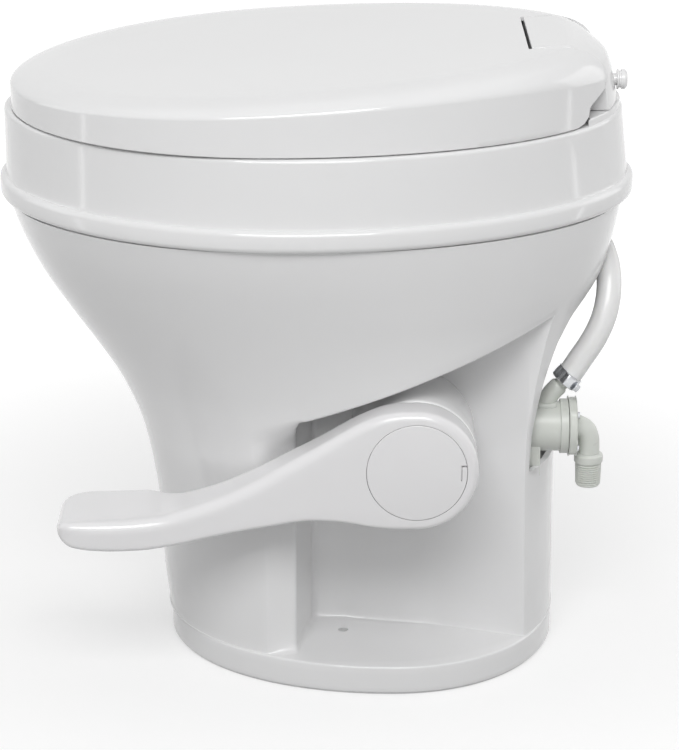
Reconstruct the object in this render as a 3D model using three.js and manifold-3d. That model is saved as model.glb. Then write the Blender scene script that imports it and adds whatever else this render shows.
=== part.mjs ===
// A foot-flushed toilet for a motor home.
// Millimetres, +Z up. The user sits facing -Y, the foot pedal is on the +X side
// and the floor outlet is centred on X = 0, Y = 0 until the last line shifts the
// whole part so that its bounding box stands centred on the origin.
import * as THREE from 'three';
import { mergeVertices } from 'three/addons/utils/BufferGeometryUtils.js';
import Module from 'manifold-3d';

const wasm = await Module();
wasm.setup();

// General clearances
const seatingGap = 0.3;
const overrun = 40;
const ringPoints = 40;
const roundPoints = 24;
const finePoints = 32;
const coarsePoints = 16;
const holePoints = 12;
const boreSides = 8;
const degree = Math.PI / 180;
const fullTurn = 360;
const quarterTurn = Math.PI / 2;

// Overall levels
const rimUnderside = 364;
const deckHeight = 433.5;
const plinthHeight = 23;
const ballHeight = 190;

// Pedestal: column, bowl skirt and plinth
const pedestalWall = 5;
const basePlate = 6;
const plinthHalfWidth = 148;
const plinthFront = 138.5;
const plinthRear = 168.5;
const plinthWidest = 38;
const plinthEdge = 2.5;
const columnHalfWidth = 142;
const columnFront = 140;
const columnRear = 168.5;
const columnWidest = 38;
const skirtHalfWidth = 182;
const skirtFront = 258.7;
const skirtRear = 216.5;
const skirtWidest = -38;
const columnRearFlare = 16;
// Each row: share of the skirt's height, then how far the width, the front, the
// rear and the widest station have gone from the column to the top of the skirt.
const skirtSectionShares = [
  [0.066, 0.05, 0.0, 0.0, 0.0],
  [0.165, 0.02, 0.035, 0.0, 0.01],
  [0.275, 0.0, 0.055, 0.0, 0.04],
  [0.385, 0.0, 0.095, 0.0, 0.09],
  [0.495, 0.01, 0.166, 0.02, 0.16],
  [0.604, 0.1, 0.31, 0.155, 0.29],
  [0.687, 0.225, 0.47, 0.32, 0.45],
  [0.769, 0.4, 0.647, 0.51, 0.62],
  [0.852, 0.625, 0.81, 0.745, 0.76],
  [0.934, 0.85, 0.93, 0.9, 0.91],
  [1, 1, 1, 1, 1],
];
// The column under the skirt: the same stations, where its rear leans back less.
const columnRearShares = [0, 0, 0, 0, 0.12, 0.4, 0.66, 1, 1, 1, 1];
const columnTopShare = 0.8;

// Foot wells beside the column, one on each side
const wellWall = 3.5;
const wellInner = 52.3;
const wellInnerRear = 65;
const wellBend = 2;
const wellMiddle = 73;
const wellEndX = 88.5;
const wellEndY = 140.7;
const wellFrontInnerY = -24;
const wellShoulderX = 102;
const wellShoulderY = -31.5;
const wellCornerX = 118;
const wellCornerY = -61;
const wellCeilingHeight = ballHeight + 30;
const wellCeilingStart = -36;
const wellCeilingSlope = 0.3;
const boltSpacing = 152.4;
const boltHoleRadius = 4;
const boltBossRadius = 9;
const floorHoleRadius = 44.5;
const floorSealHeight = 11;

// Opening in the back for the water valve and its hose
const backHalfWidth = 84;
const backBottom = ballHeight - 32;
const backTop = 350;
const backCutFrom = 137;
const slotHalfWidth = 26;
// Each row: share of the opening's half width, share of its height.
const backOutlineShares = [
  [1, 0],
  [0.952, 0.43],
  [0.93, 0.54],
  [0.83, 0.635],
  [0.65, 0.693],
  [0.476, 0.74],
  [0.357, 0.812],
  [0.31, 0.896],
  [0.29, 0.96],
  [0.16, 1],
];

// Rim band with the bead at its foot
const bandHalfWidth = 183;
const bandFront = 260.6;
const bandRear = 219.4;
const bandWidest = -38;
const bandLean = 5;
const bandWall = 4;
const bandShoulder = 5;
const beadHalfWidth = 188;
const beadFront = 265.6;
const beadRear = 224.4;
const beadHeight = 18;
const beadRound = 4;
const bandPower = 1.94;
const rimHalfWidth = 122;
const rimFront = 209;
const rimRear = 114;
const rimWidest = -42;
const rimLip = 16;

// Bowl liner, whose foot stands over the flush ball
const linerWall = 4;
const linerTop = 429;
const linerFlange = 14;
const outletRadius = 26;
const linerFoot = ballHeight + 38;
// Each row: share of the liner's height above its foot, then how far the width,
// front, rear and widest station have opened from the outlet to the rim.
const linerSectionShares = [
  [0, 0, 0, 0, 0],
  [0.06, 0.1, 0.1, 0.15, 0],
  [0.16, 0.3, 0.32, 0.39, 0.12],
  [0.36, 0.6, 0.6, 0.66, 0.36],
  [0.61, 0.85, 0.83, 0.84, 0.72],
  [0.86, 0.97, 0.96, 0.95, 0.95],
  [1, 1, 1, 1, 1],
];

// Flush ball, its housing and the floor outlet
const ballRadius = 40;
const ballWall = 3.5;
const ballCapDepth = 12.7;
const ballArm = 11;
const ballSocket = 9;
const housingGap = 0.8;
const housingWall = 2.6;
const tubeRadius = 36;
const tubeWall = 3.5;
const tubeFoot = 3;
const tubeFlange = 47.5;
const tubeFlangeThick = 4;
const stubRadius = 6;
const stubInner = 31;
const sealHeight = 5.2;

// Gear pair between the pedal shaft and the flush ball
const gearModule = 1.5;
const gearTeeth = 56;
const pinionTeeth = 17;
const gearThick = 4;
const gearPlane = 44;
const gearAddendumShare = 0.9;
const gearDedendumShare = 1.25;
const gearBacklash = 0.3;
const pressureAngle = 20 * degree;
const flankPoints = 3;
const sectorFrom = 139;
const sectorTo = 196;
const gearHub = 14;

// Pedal hub and shaft
const hubY = ((gearTeeth + pinionTeeth) * gearModule) / 2;
const hubZ = ballHeight;
const bossRadius = 46.3;
const bossWall = 3.5;
const bossEnd = 137.3;
const bossStart = 45;
const shaftRadius = 8;
const bushWall = 3;
const bushFlange = 3;
const bushFlangeThick = 2;
const bearingPlateX = 74;
const bearingPlateThick = 4;
const springRadius = 17;
const springWire = 1.5;
const springTurns = 6;

// Foot pedal
const headBack = 138;
const headFace = 168;
const headRadius = 46.3;
const capRadius = 37.5;
const capThick = 2.6;
const capPocket = 33;
const capPocketDepth = 14;
const headRound = 3;
const pedalSocketDepth = 11;
const screwRadius = 2.5;
const screwHeadRadius = 6;
const screwHeadThick = 4;
const pedalReach = 274;
const padTopDrop = 87.6;
const padBottomDrop = 18;
const padWiden = 42;
const pedalWall = 3.5;
// Each row: share of the reach, then shares of the top drop, the bottom drop and
// the widening towards the bowl.
const pedalSectionShares = [
  [0.03, 0.0, -0.02, 0],
  [0.085, 0.03, -0.1, 0],
  [0.145, 0.09, -0.17, 0],
  [0.26, 0.304, -0.38, 0.03],
  [0.332, 0.446, -0.33, 0.1],
  [0.4, 0.575, -0.13, 0.17],
  [0.459, 0.69, 0, 0.24],
  [0.536, 0.81, 0.22, 0.31],
  [0.617, 0.885, 0.5, 0.42],
  [0.67, 0.93, 0.7, 0.64],
  [0.72, 0.962, 0.86, 0.86],
  [0.78, 0.98, 0.96, 0.97],
  [0.84, 0.99, 1, 1],
  [0.9, 1, 0.97, 0.98],
  [0.94, 1.01, 0.85, 0.93],
  [0.975, 1.03, 0.62, 0.84],
  [0.993, 1.06, 0.3, 0.7],
];
const pedalSkin = 3.2;
const pedalNearRound = 8;
const pedalFarRound = 4;
const cornerSteps = 3;

// Water valve behind the column
const valveX = 53;
const valveZ = hubZ - 4;
const valveRadius = 19.5;
const valveFrom = 118;
const valveTo = 175;
const valveFlangeRadius = 22.7;
const valveFlangeThick = 6;
const valveNoseRadius = 9;
const valveNose = 12;
const elbowRadius = 8.4;
const elbowDropY = 192;
const collarRadius = 11.3;
const collarTop = valveZ - 23.3;
const collarHeight = 6;
const spigotRadius = 10.48;
const spigotFoot = valveZ - 48.7;
const elbowBore = 5.5;
const threadPitch = 3.2;
const elbowSteps = 8;
const threadDepth = 1.1;
const neckRadius = 7.2;
const neckY = 158;
const neckTop = valveZ + 26;
const neckBore = 4.4;
const neckShare = 0.55;
const lugHalf = 4;
const capScrewRadius = 1.6;
const capScrewCircle = 19;
const plungerRadius = 3.5;
const plungerTip = 3;
const camBase = 17;
const camRise = 8.5;
const camThick = 6;
const camPlane = 50;
const tipClearance = 1.1;
const camFrom = -24;
const camTo = 52;
const camStep = 4;
const camHub = 12.5;
const plungerDiscOffset = 4;
const bracketThick = 3;
const bracketHalfWidth = 74;
const bracketBottom = valveZ - 40;
const bracketTop = valveZ + 46;

// Flush hose from the valve up to the rim
const hoseRadius = 9.7;
const hoseBore = 6.4;
const hoseSteps = 22;
const hoseFoot = valveZ + 36.2;
const nozzleZ = 340.7;
// Each row: X, Y, then the share of the hose's climb that is behind it.
const hoseRouteShares = [
  [53, 170.2, 0],
  [52.5, 176, 0.0574],
  [51.5, 183, 0.1468],
  [49, 193.8, 0.2852],
  [45, 201, 0.4118],
  [39, 204.8, 0.53],
  [31, 206, 0.6397],
  [22, 205, 0.7325],
  [14, 201.8, 0.8127],
  [8, 196.6, 0.8886],
  [5, 189, 0.9553],
  [4, 180.5, 0.9924],
  [4, 173, 1],
  [4, 166.4, 1],
];
const hoseRoute = hoseRouteShares.map(([x, y, climb]) => [
  x,
  y,
  hoseFoot + (nozzleZ - hoseFoot) * climb,
]);
const hoseEndX = 4;
const nozzleRadius = 8;
const nozzleFrom = 104;
const nozzleTo = 130;
const nozzleStack = 149;
const nozzleMiddle = 166;
const nozzleTail = 174;
const breakerRadius = 12;
const breakerHeight = 50;
const clampBand = 0.8;
const clampSlack = 0.5;
const clampWidth = 9;
const clampScrew = 2.6;
const lowerClampShare = 0.035;
const lowerClampTurn = 0;
const upperClampShare = 0.96;
const upperClampTurn = 0;

// Seat, lid and their hinge
const hingeY = 183;
const hingeZ = 466;
const pinRadius = 3;
const pinReach = 67.6;
const earRadius = 6.6;
const seatEarRadius = 5.2;
const lidHalfWidth = 181;
const seatHalfWidth = lidHalfWidth - 9;
const seatFront = 246;
const seatRear = 168;
const seatWidest = -50;
const seatHoleHalfWidth = 104;
const seatHoleFront = 190;
const seatHoleRear = 92;
const seatUnderside = 436.8;
const seatTop = 446;
const seatEdge = 3;
const seatNotchY = 135;
const seatEarX = 58.2;
const lidEarX = 62.9;
const earThick = 4;
const lidFront = 255;
const lidRear = 211;
const lidWidest = -54;
const lidPower = 2.03;
const lidUnderside = 434.3;
const lidTopFront = 459;
const lidTopSlope = 0.064;
const lidCrown = 2.5;
const lidShoulder = 36;
const lidWall = 3;
const lidCutY = 137.2;
const lidCutHalfWidth = 57.3;
const coverHalfWidth = 56;
const coverFront = 140.7;
const coverTop = 487;
const coverBow = 10;
const coverSteps = 10;
const platformRise = 5;
const platformInset = 2;
const platformHalfWidth = 70;
const platformFrontHalf = 56.6;
const platformStep = 187;
const postOffset = 13;
const postThick = 4;
const nutThick = 5;
const boltHeadY = 211.4;
const boltHeadThick = 6.6;
const washerThick = 1.4;
const slitHalf = 0.8;
const pinInside = 3;
const edgeFront = 7;
const edgeRear = 15;
const edgeTail = 16;
const edgeTailPower = 10;
const lidEdgeSteps = 3;
const seatPadRadius = 6;
const seatPadSpots = [[seatHalfWidth - 72, -176], [seatHalfWidth - 54, 70]];
const lidPadRadius = 6;
const lidPadSink = 0.8;
const lidPadSpots = [[seatHalfWidth - 80, -190], [seatHalfWidth - 44, 66]];
// The hinge cover's side profile: Y and Z of each corner, which way is inwards
// there, and how much of the bow towards the middle the corner takes.
const coverOutline = [
  [140.7, 438.8],
  [199.8, 438.8],
  [197.6, 451],
  [195.4, 462.3],
  [191.8, 473.8],
  [180.5, 483.4],
  [169.5, 488.2],
  [142.5, 487.2],
  [140.7, 485.4],
];
const coverInward = [
  [1, -1],
  [-1, -1],
  [-1, 0],
  [-1, -0.2],
  [-0.85, -0.55],
  [-0.5, -0.9],
  [-0.1, -1],
  [0.7, -1],
  [1, -0.7],
];
const coverBowShares = [0, 1, 1, 1, 0.95, 0.75, 0.5, 0, 0];
const coverWall = 3;
const hingeBoltZ = 450;
const hingeBoltRadius = 3;
const hingeHeadRadius = 7.8;

// Finishes
const white = new THREE.Color(0.9, 0.9, 0.91);
const translucentWhite = new THREE.Color(0.84, 0.85, 0.82);
const rubberBlack = new THREE.Color(0.08, 0.08, 0.08);
const rubberGrey = new THREE.Color(0.42, 0.42, 0.43);
const steel = new THREE.Color(0.62, 0.63, 0.65);
const nylon = new THREE.Color(0.82, 0.82, 0.78);

function finish(color, roughness, metalness) {
  return new THREE.MeshStandardMaterial({ color, roughness, metalness });
}

const glossPlastic = () => finish(white, 0.25, 0);
const valvePlastic = () => finish(translucentWhite, 0.4, 0);
const innerPlastic = () => finish(nylon, 0.45, 0);
const seal = () => finish(rubberBlack, 0.8, 0);
const bumper = () => finish(rubberGrey, 0.7, 0);
const metal = () => finish(steel, 0.3, 1);

// An egg-shaped outline in plan, counter-clockwise from its front tip.
// A superellipse whose front and rear halves have their own length.
function eggRing(size, height, power = 2.06, points = ringPoints) {
  const ring = [];
  for (let i = 0; i < points; i += 1) {
    const turn = (2 * Math.PI * i) / points;
    const across = Math.sin(turn);
    const along = Math.cos(turn);
    const reach = along > 0 ? size.front + size.widest : size.rear - size.widest;
    const x = size.half * Math.sign(across) * Math.abs(across) ** (2 / power);
    const y = size.widest - reach * Math.sign(along) * Math.abs(along) ** (2 / power);
    ring.push(new THREE.Vector3(x, y, height));
  }
  return ring;
}

// The same egg drawn in by a wall's thickness, or out where it is negative.
function inset(size, by) {
  return {
    half: size.half - by,
    front: size.front - by,
    rear: size.rear - by,
    widest: size.widest,
  };
}

function blendSize(from, to, shares) {
  const mix = (a, b, share) => a + (b - a) * share;
  return {
    half: mix(from.half, to.half, shares[0]),
    front: mix(from.front, to.front, shares[1]),
    rear: mix(from.rear, to.rear, shares[2]),
    widest: mix(from.widest, to.widest, shares[3]),
  };
}

// Skin through rings of equal count. A closed loft joins its last ring to its
// first, which makes a shell; an open one gets a fan over each end.
function loft(rings, closed) {
  const count = rings[0].length;
  const positions = [];
  const triangle = (a, b, c) => positions.push(...a.toArray(), ...b.toArray(), ...c.toArray());
  const bands = closed ? rings.length : rings.length - 1;
  for (let i = 0; i < bands; i += 1) {
    const low = rings[i];
    const high = rings[(i + 1) % rings.length];
    for (let j = 0; j < count; j += 1) {
      const k = (j + 1) % count;
      triangle(low[j], low[k], high[k]);
      triangle(low[j], high[k], high[j]);
    }
  }
  if (!closed) {
    const middle = (ring) => ring
      .reduce((sum, point) => sum.add(point), new THREE.Vector3())
      .divideScalar(ring.length);
    const first = rings[0];
    const last = rings[rings.length - 1];
    const start = middle(first);
    const end = middle(last);
    for (let j = 0; j < count; j += 1) {
      const k = (j + 1) % count;
      triangle(start, first[k], first[j]);
      triangle(end, last[j], last[k]);
    }
  }
  const geometry = new THREE.BufferGeometry();
  geometry.setAttribute('position', new THREE.Float32BufferAttribute(positions, 3));
  return geometry;
}

// Closed solids for joining and cutting
function toSolid(geometry) {
  const bare = geometry.clone();
  bare.deleteAttribute('normal');
  bare.deleteAttribute('uv');
  const merged = mergeVertices(bare, 1e-3);
  const mesh = new wasm.Mesh({
    numProp: 3,
    vertProperties: new Float32Array(merged.attributes.position.array),
    triVerts: new Uint32Array(merged.index.array),
  });
  return new wasm.Manifold(mesh);
}

function fromSolid(body) {
  const mesh = body.getMesh();
  const geometry = new THREE.BufferGeometry();
  geometry.setAttribute('position', new THREE.Float32BufferAttribute(mesh.vertProperties, 3));
  geometry.setIndex(new THREE.Uint32BufferAttribute(mesh.triVerts, 1));
  return geometry;
}

function join(...bodies) {
  return bodies.reduce((whole, body) => whole.add(body));
}

function cut(body, ...tools) {
  return tools.reduce((whole, tool) => whole.subtract(tool), body);
}

// A flat outline in X and Y, raised along Z from low to high.
function prismZ(points, low, high) {
  const shape = new THREE.Shape(points.map(([x, y]) => new THREE.Vector2(x, y)));
  const geometry = new THREE.ExtrudeGeometry(shape, {
    depth: high - low,
    bevelEnabled: false,
    steps: 1,
  });
  geometry.translate(0, 0, low);
  return toSolid(geometry);
}

// A flat outline in Y and Z, carried along X from low to high.
function prismX(points, low, high) {
  const shape = new THREE.Shape(points.map(([y, z]) => new THREE.Vector2(y, z)));
  const geometry = new THREE.ExtrudeGeometry(shape, {
    depth: high - low,
    bevelEnabled: false,
    steps: 1,
  });
  // Turns the outline's own X to Y, its Y to Z and its depth to X.
  const turn = new THREE.Matrix4().set(0, 0, 1, low, 1, 0, 0, 0, 0, 1, 0, 0, 0, 0, 0, 1);
  geometry.applyMatrix4(turn);
  return toSolid(geometry);
}

// A flat outline in X and Z, carried along Y from low to high.
function prismY(points, low, high) {
  const shape = new THREE.Shape(points.map(([x, z]) => new THREE.Vector2(x, z)));
  const geometry = new THREE.ExtrudeGeometry(shape, {
    depth: high - low,
    bevelEnabled: false,
    steps: 1,
  });
  // Turns the outline's own Y to Z and its depth to -Y.
  const turn = new THREE.Matrix4().set(1, 0, 0, 0, 0, 0, -1, high, 0, 1, 0, 0, 0, 0, 0, 1);
  geometry.applyMatrix4(turn);
  return toSolid(geometry);
}

function box(xs, ys, zs) {
  const geometry = new THREE.BoxGeometry(xs[1] - xs[0], ys[1] - ys[0], zs[1] - zs[0]);
  geometry.translate((xs[0] + xs[1]) / 2, (ys[0] + ys[1]) / 2, (zs[0] + zs[1]) / 2);
  return toSolid(geometry);
}

// Points of a profile, put in the order in which a lathe's faces look outwards
function latheOutline(profile) {
  const outline = profile.map(([radius, along]) => new THREE.Vector2(radius, along));
  return THREE.ShapeUtils.area(outline) < 0 ? outline.reverse() : outline;
}

// A profile of [radius, height] points turned about Z.
// It starts and ends on the axis, or its last point meets its first.
function turnedZ(profile, points = roundPoints) {
  const geometry = new THREE.LatheGeometry(latheOutline(profile), points);
  geometry.rotateX(Math.PI / 2);
  return toSolid(geometry);
}

// The same, turned about an axis along X or along Y through a centre.
function turnedX(profile, centre, points = roundPoints) {
  const geometry = new THREE.LatheGeometry(latheOutline(profile), points);
  geometry.rotateZ(-Math.PI / 2);
  geometry.translate(0, centre[0], centre[1]);
  return toSolid(geometry);
}

function turnedY(profile, centre, points = roundPoints) {
  const geometry = new THREE.LatheGeometry(latheOutline(profile), points);
  geometry.translate(centre[0], 0, centre[1]);
  return toSolid(geometry);
}

// A ring profile from one rectangle: radii and the span along the axis.
function sleeve(inner, outer, low, high) {
  return [[inner, low], [outer, low], [outer, high], [inner, high], [inner, low]];
}

function rod(radius, low, high) {
  return [[0, low], [radius, low], [radius, high], [0, high]];
}

// Rings of a round tube along a curve, with frames that don't twist.
function tubeRings(curve, steps, radiusAt, sides) {
  const frames = curve.computeFrenetFrames(steps, false);
  const rings = [];
  for (let i = 0; i <= steps; i += 1) {
    const middle = curve.getPointAt(i / steps);
    const radius = radiusAt(i / steps);
    const ring = [];
    for (let j = 0; j < sides; j += 1) {
      const turn = (2 * Math.PI * j) / sides;
      const point = middle.clone();
      point.addScaledVector(frames.normals[i], radius * Math.cos(turn));
      point.addScaledVector(frames.binormals[i], radius * Math.sin(turn));
      ring.push(point);
    }
    rings.push(ring);
  }
  return rings;
}

function pipe(curve, steps, radius, bore, sides) {
  const outside = tubeRings(curve, steps, () => radius, sides);
  if (!bore) {
    return loft(outside, false);
  }
  const inside = tubeRings(curve, steps, () => bore, sides).reverse();
  return loft([...outside, ...inside], true);
}

function curveThrough(points) {
  return new THREE.CatmullRomCurve3(points.map((point) => new THREE.Vector3(...point)));
}

// Sizes of the pedestal at the stations of the section table
const columnSize = {
  half: columnHalfWidth,
  front: columnFront,
  rear: columnRear,
  widest: columnWidest,
};
const skirtSize = {
  half: skirtHalfWidth,
  front: skirtFront,
  rear: skirtRear,
  widest: skirtWidest,
};
const plinthSize = {
  half: plinthHalfWidth,
  front: plinthFront,
  rear: plinthRear,
  widest: plinthWidest,
};
const skirtStations = skirtSectionShares.map(([heightShare, ...shares]) => ({
  height: heightShare * rimUnderside,
  size: blendSize(columnSize, skirtSize, shares),
}));
const columnStations = skirtSectionShares
  .map(([heightShare, width, front, , widest], i) => ({
    height: heightShare * rimUnderside,
    share: heightShare,
    size: {
      half: columnHalfWidth + (skirtHalfWidth - columnHalfWidth) * Math.min(width, 0.1),
      front: columnFront + (skirtFront - columnFront) * front,
      rear: columnRear + columnRearFlare * columnRearShares[i],
      widest: columnWidest + (skirtWidest - columnWidest) * widest,
    },
  }))
  .filter((station) => station.share < columnTopShare);

// Height of the foot wells' ceiling, which climbs towards the back
function ceilingAt(y, above = 0) {
  return wellCeilingHeight + above + (y - wellCeilingStart) * wellCeilingSlope;
}

// The space of a foot well, grown by a wall where one is asked for
function wellPlan(side, grown) {
  const reach = plinthHalfWidth + overrun;
  const slopeX = wellCornerX - wellShoulderX;
  const slopeY = wellCornerY - wellShoulderY;
  const tailX = (wellEndX - wellInnerRear) * 0.7;
  const tailY = (wellEndY - wellMiddle) * 0.7;
  const plan = [
    [wellShoulderX + slopeX * 4, wellShoulderY + slopeY * 4 - grown],
    [wellShoulderX, wellShoulderY - grown],
    [wellInner - grown, wellFrontInnerY - grown],
    [wellInner - grown, wellBend],
    [wellInnerRear - grown, wellMiddle],
    [wellEndX + tailX - grown, wellEndY + tailY],
    [reach, wellEndY + tailY],
    [reach, wellShoulderY + slopeY * 4 - grown],
  ];
  const outline = plan.map(([x, y]) => [x * side, y]);
  return side > 0 ? outline : outline.reverse();
}

function wellSpace(side, grown) {
  const low = plinthHeight - grown;
  const upright = prismZ(wellPlan(side, grown), low, rimUnderside);
  const front = -columnFront - overrun;
  const rear = columnRear + overrun;
  const under = prismX(
    [
      [front, -overrun],
      [rear, -overrun],
      [rear, ceilingAt(rear, grown)],
      [front, ceilingAt(front, grown)],
    ],
    -skirtHalfWidth - overrun,
    skirtHalfWidth + overrun,
  );
  return upright.intersect(under);
}

// The plinth is open underneath, but for a boss round each floor bolt.
function underWell(side) {
  return prismZ(wellPlan(side, -pedestalWall), -1, plinthHeight - wellWall);
}

function boltPost(side, radius, low, high) {
  return turnedZ(rod(radius, low, high), coarsePoints).translate([(side * boltSpacing) / 2, 0, 0]);
}

// Outline of the opening in the back, from one foot round to the other
function backOutline() {
  const right = backOutlineShares.map(([halfShare, heightShare]) => [
    backHalfWidth * halfShare,
    backBottom + (backTop - backBottom) * heightShare,
  ]);
  const left = right.map(([x, z]) => [-x, z]).reverse();
  return [...right, ...left];
}

// The outside of the pedestal: plinth, column and the bowl skirt that overhangs
// the foot wells above their sloping ceiling.
function pedestalOutside(by) {
  const column = loft(
    [
      eggRing(inset(plinthSize, by), by > 0 ? basePlate : 0),
      eggRing(inset(plinthSize, by), plinthHeight - plinthEdge),
      eggRing(inset(plinthSize, by + plinthEdge), plinthHeight),
      ...columnStations.map(({ height, size }) => eggRing(inset(size, by), height)),
    ],
    false,
  );
  const skirt = loft(
    [
      ...skirtStations
        .filter(({ height }) => height > plinthHeight * 4)
        .map(({ height, size }) => eggRing(inset(size, by), height)),
      ...(by > 0 ? [eggRing(inset(skirtSize, by), rimUnderside + overrun)] : []),
    ],
    false,
  );
  const reach = skirtFront + overrun;
  const above = prismX(
    [
      [-reach, ceilingAt(-reach, by)],
      [reach, ceilingAt(reach, by)],
      [reach, rimUnderside + 2 * overrun],
      [-reach, rimUnderside + 2 * overrun],
    ],
    -skirtHalfWidth - overrun,
    skirtHalfWidth + overrun,
  );
  return toSolid(column).add(toSolid(skirt).intersect(above));
}

function plinthInside() {
  return toSolid(loft(
    [
      eggRing(inset(plinthSize, pedestalWall), -1),
      eggRing(inset(plinthSize, pedestalWall + plinthEdge), plinthHeight),
    ],
    false,
  ));
}

function pedestalShell() {
  const outside = pedestalOutside(0);
  const inside = pedestalOutside(pedestalWall);
  const walls = join(wellSpace(1, wellWall), wellSpace(-1, wellWall)).intersect(outside);
  const boss = turnedX(rod(bossRadius, bossStart, bossEnd), [hubY, hubZ], finePoints)
    .intersect(wellSpace(1, wellWall));
  const bossBore = turnedX(
    rod(bossRadius - bossWall, bossStart - overrun / 2, bossEnd - bossWall),
    [hubY, hubZ],
    finePoints,
  );
  const bushHole = turnedX(
    rod(shaftRadius + bushWall + 2 * seatingGap, bossEnd - overrun, bossEnd + overrun),
    [hubY, hubZ],
  );
  const boltHole = (side) => boltPost(side, boltHoleRadius, -1, plinthHeight + 1);
  const boltBoss = (side) => boltPost(side, boltBossRadius, 0, plinthHeight - 1);
  const outlet = turnedZ(rod(floorHoleRadius, -overrun, basePlate + overrun));
  const back = prismY(backOutline(), backCutFrom, skirtRear + overrun);
  let shell = cut(outside, inside).add(walls);
  const under = join(underWell(1), underWell(-1)).intersect(plinthInside());
  shell = cut(shell, wellSpace(1, 0), wellSpace(-1, 0), under);
  shell = join(shell, boss, boltBoss(1), boltBoss(-1));
  shell = cut(shell, bossBore, bushHole, boltHole(1), boltHole(-1), outlet, back);
  return fromSolid(shell);
}

// Rim band: bead, leaning wall, deck and the lip that turns down into the bowl
const bandSize = { half: bandHalfWidth, front: bandFront, rear: bandRear, widest: bandWidest };
const beadSize = { half: beadHalfWidth, front: beadFront, rear: beadRear, widest: bandWidest };
const rimSize = { half: rimHalfWidth, front: rimFront, rear: rimRear, widest: rimWidest };

function rimBand() {
  const foot = rimUnderside + seatingGap;
  const beadTop = foot + beadHeight;
  const top = { ...bandSize, rear: bandRear - bandLean };
  const wall = bandWall;
  const ring = (size, height) => eggRing(size, height, bandPower);
  const body = loft(
    [
      ring(inset(beadSize, beadRound), foot),
      ring(inset(beadSize, beadRound / 4), foot + beadRound * 0.4),
      ring(beadSize, foot + beadHeight / 2),
      ring(inset(beadSize, beadRound / 4), beadTop - beadRound),
      ring(inset(bandSize, -1), beadTop),
      ring(bandSize, beadTop + beadRound / 2),
      ring(top, deckHeight - bandShoulder),
      ring(inset(top, bandShoulder * 0.3), deckHeight - bandShoulder * 0.3),
      ring(inset(top, bandShoulder), deckHeight),
      ring(rimSize, deckHeight),
      ring(inset(rimSize, 2), deckHeight - 2),
      ring(inset(rimSize, 2), deckHeight - rimLip),
      ring(inset(rimSize, 2 - wall), deckHeight - rimLip),
      ring(inset(rimSize, -wall - linerFlange), deckHeight - wall),
      ring(inset(top, bandShoulder + wall), deckHeight - wall),
      ring(inset(top, wall), deckHeight - bandShoulder - wall),
      ring(inset(bandSize, wall), foot),
    ],
    true,
  );
  const post = box(
    [-hingeHeadRadius * 1.8, hingeHeadRadius * 1.8],
    [hingeY + postOffset, hingeY + postOffset + postThick],
    [deckHeight - 1, hingeBoltZ + hingeHeadRadius],
  );
  const hole = turnedY(
    rod(hingeBoltRadius + seatingGap, hingeY - overrun, hingeY + overrun),
    [0, hingeBoltZ],
    holePoints,
  );
  return fromSolid(cut(join(toSolid(body), hingePlatform(), post), hole));
}

// Raised part of the deck under the hinge cover, wider behind the hinge
function hingePlatform() {
  const low = deckHeight - bandShoulder;
  const high = deckHeight + platformRise;
  const top = { ...bandSize, rear: bandRear - bandLean };
  const outline = toSolid(loft(
    [
      eggRing(inset(top, platformInset), low, bandPower),
      eggRing(inset(top, platformInset), high - 1, bandPower),
      eggRing(inset(top, platformInset + 1), high, bandPower),
    ],
    false,
  ));
  const reach = skirtRear + overrun;
  const narrow = box(
    [-platformFrontHalf, platformFrontHalf],
    [coverFront - 1, reach],
    [low, high],
  );
  const wide = box([-platformHalfWidth, platformHalfWidth], [platformStep, reach], [low, high]);
  return outline.intersect(join(narrow, wide));
}

// Bowl liner: an egg-shaped funnel from under the rim down to the flush ball.
function bowlLiner() {
  const outletSize = { half: outletRadius, front: outletRadius, rear: outletRadius, widest: 0 };
  const mouthSize = inset(rimSize, -bandWall - linerFlange - 1);
  const at = (by) => linerSectionShares.map(([heightShare, ...shares]) => eggRing(
    inset(blendSize(outletSize, mouthSize, shares), by),
    linerFoot + (linerTop - linerFoot) * heightShare,
    2,
  ));
  const shell = toSolid(loft([...at(-linerWall), ...at(0).reverse()], true));
  const inlet = turnedY(
    rod(nozzleRadius + seatingGap, nozzleFrom, nozzleTo),
    [hoseEndX, nozzleZ],
    coarsePoints,
  );
  return fromSolid(cut(shell, inlet));
}

// Flush ball: a dished cap with an arm down each side to a socket
function flushBall() {
  const centre = [0, 0, ballHeight];
  const sphere = (radius) => toSolid(new THREE.SphereGeometry(radius, roundPoints, coarsePoints));
  const hollow = cut(sphere(ballRadius), sphere(ballRadius - ballWall));
  const capFoot = ballRadius - ballCapDepth;
  const cap = box(
    [-ballRadius, ballRadius],
    [-ballRadius, ballRadius],
    [capFoot, ballRadius + 1],
  );
  const arms = box([-ballRadius, ballRadius], [-ballArm, ballArm], [-ballArm, capFoot + 1]);
  const keep = join(cap, arms);
  const limit = sphere(ballRadius);
  const socket = (low, high) => turnedX(rod(ballSocket, low, high), [0, 0], coarsePoints);
  const sockets = join(socket(stubInner, ballRadius), socket(-ballRadius, -stubInner));
  const bore = turnedX(
    rod(stubRadius + seatingGap, -ballRadius - 1, ballRadius + 1),
    [0, 0],
    coarsePoints,
  );
  const body = hollow.intersect(keep).add(sockets.intersect(limit));
  return fromSolid(cut(body, bore).translate(centre));
}

// Points of a quarter arc of the housing sphere, from its equator to a radius
function sphereArc(radius, toRadius, sign, steps = 4) {
  const last = Math.acos(toRadius / radius);
  const first = Math.asin((seatingGap / 2) / radius);
  const points = [];
  for (let i = 0; i <= steps; i += 1) {
    const turn = first + ((last - first) * i) / steps;
    points.push([radius * Math.cos(turn), sign * radius * Math.sin(turn)]);
  }
  return points;
}

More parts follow.
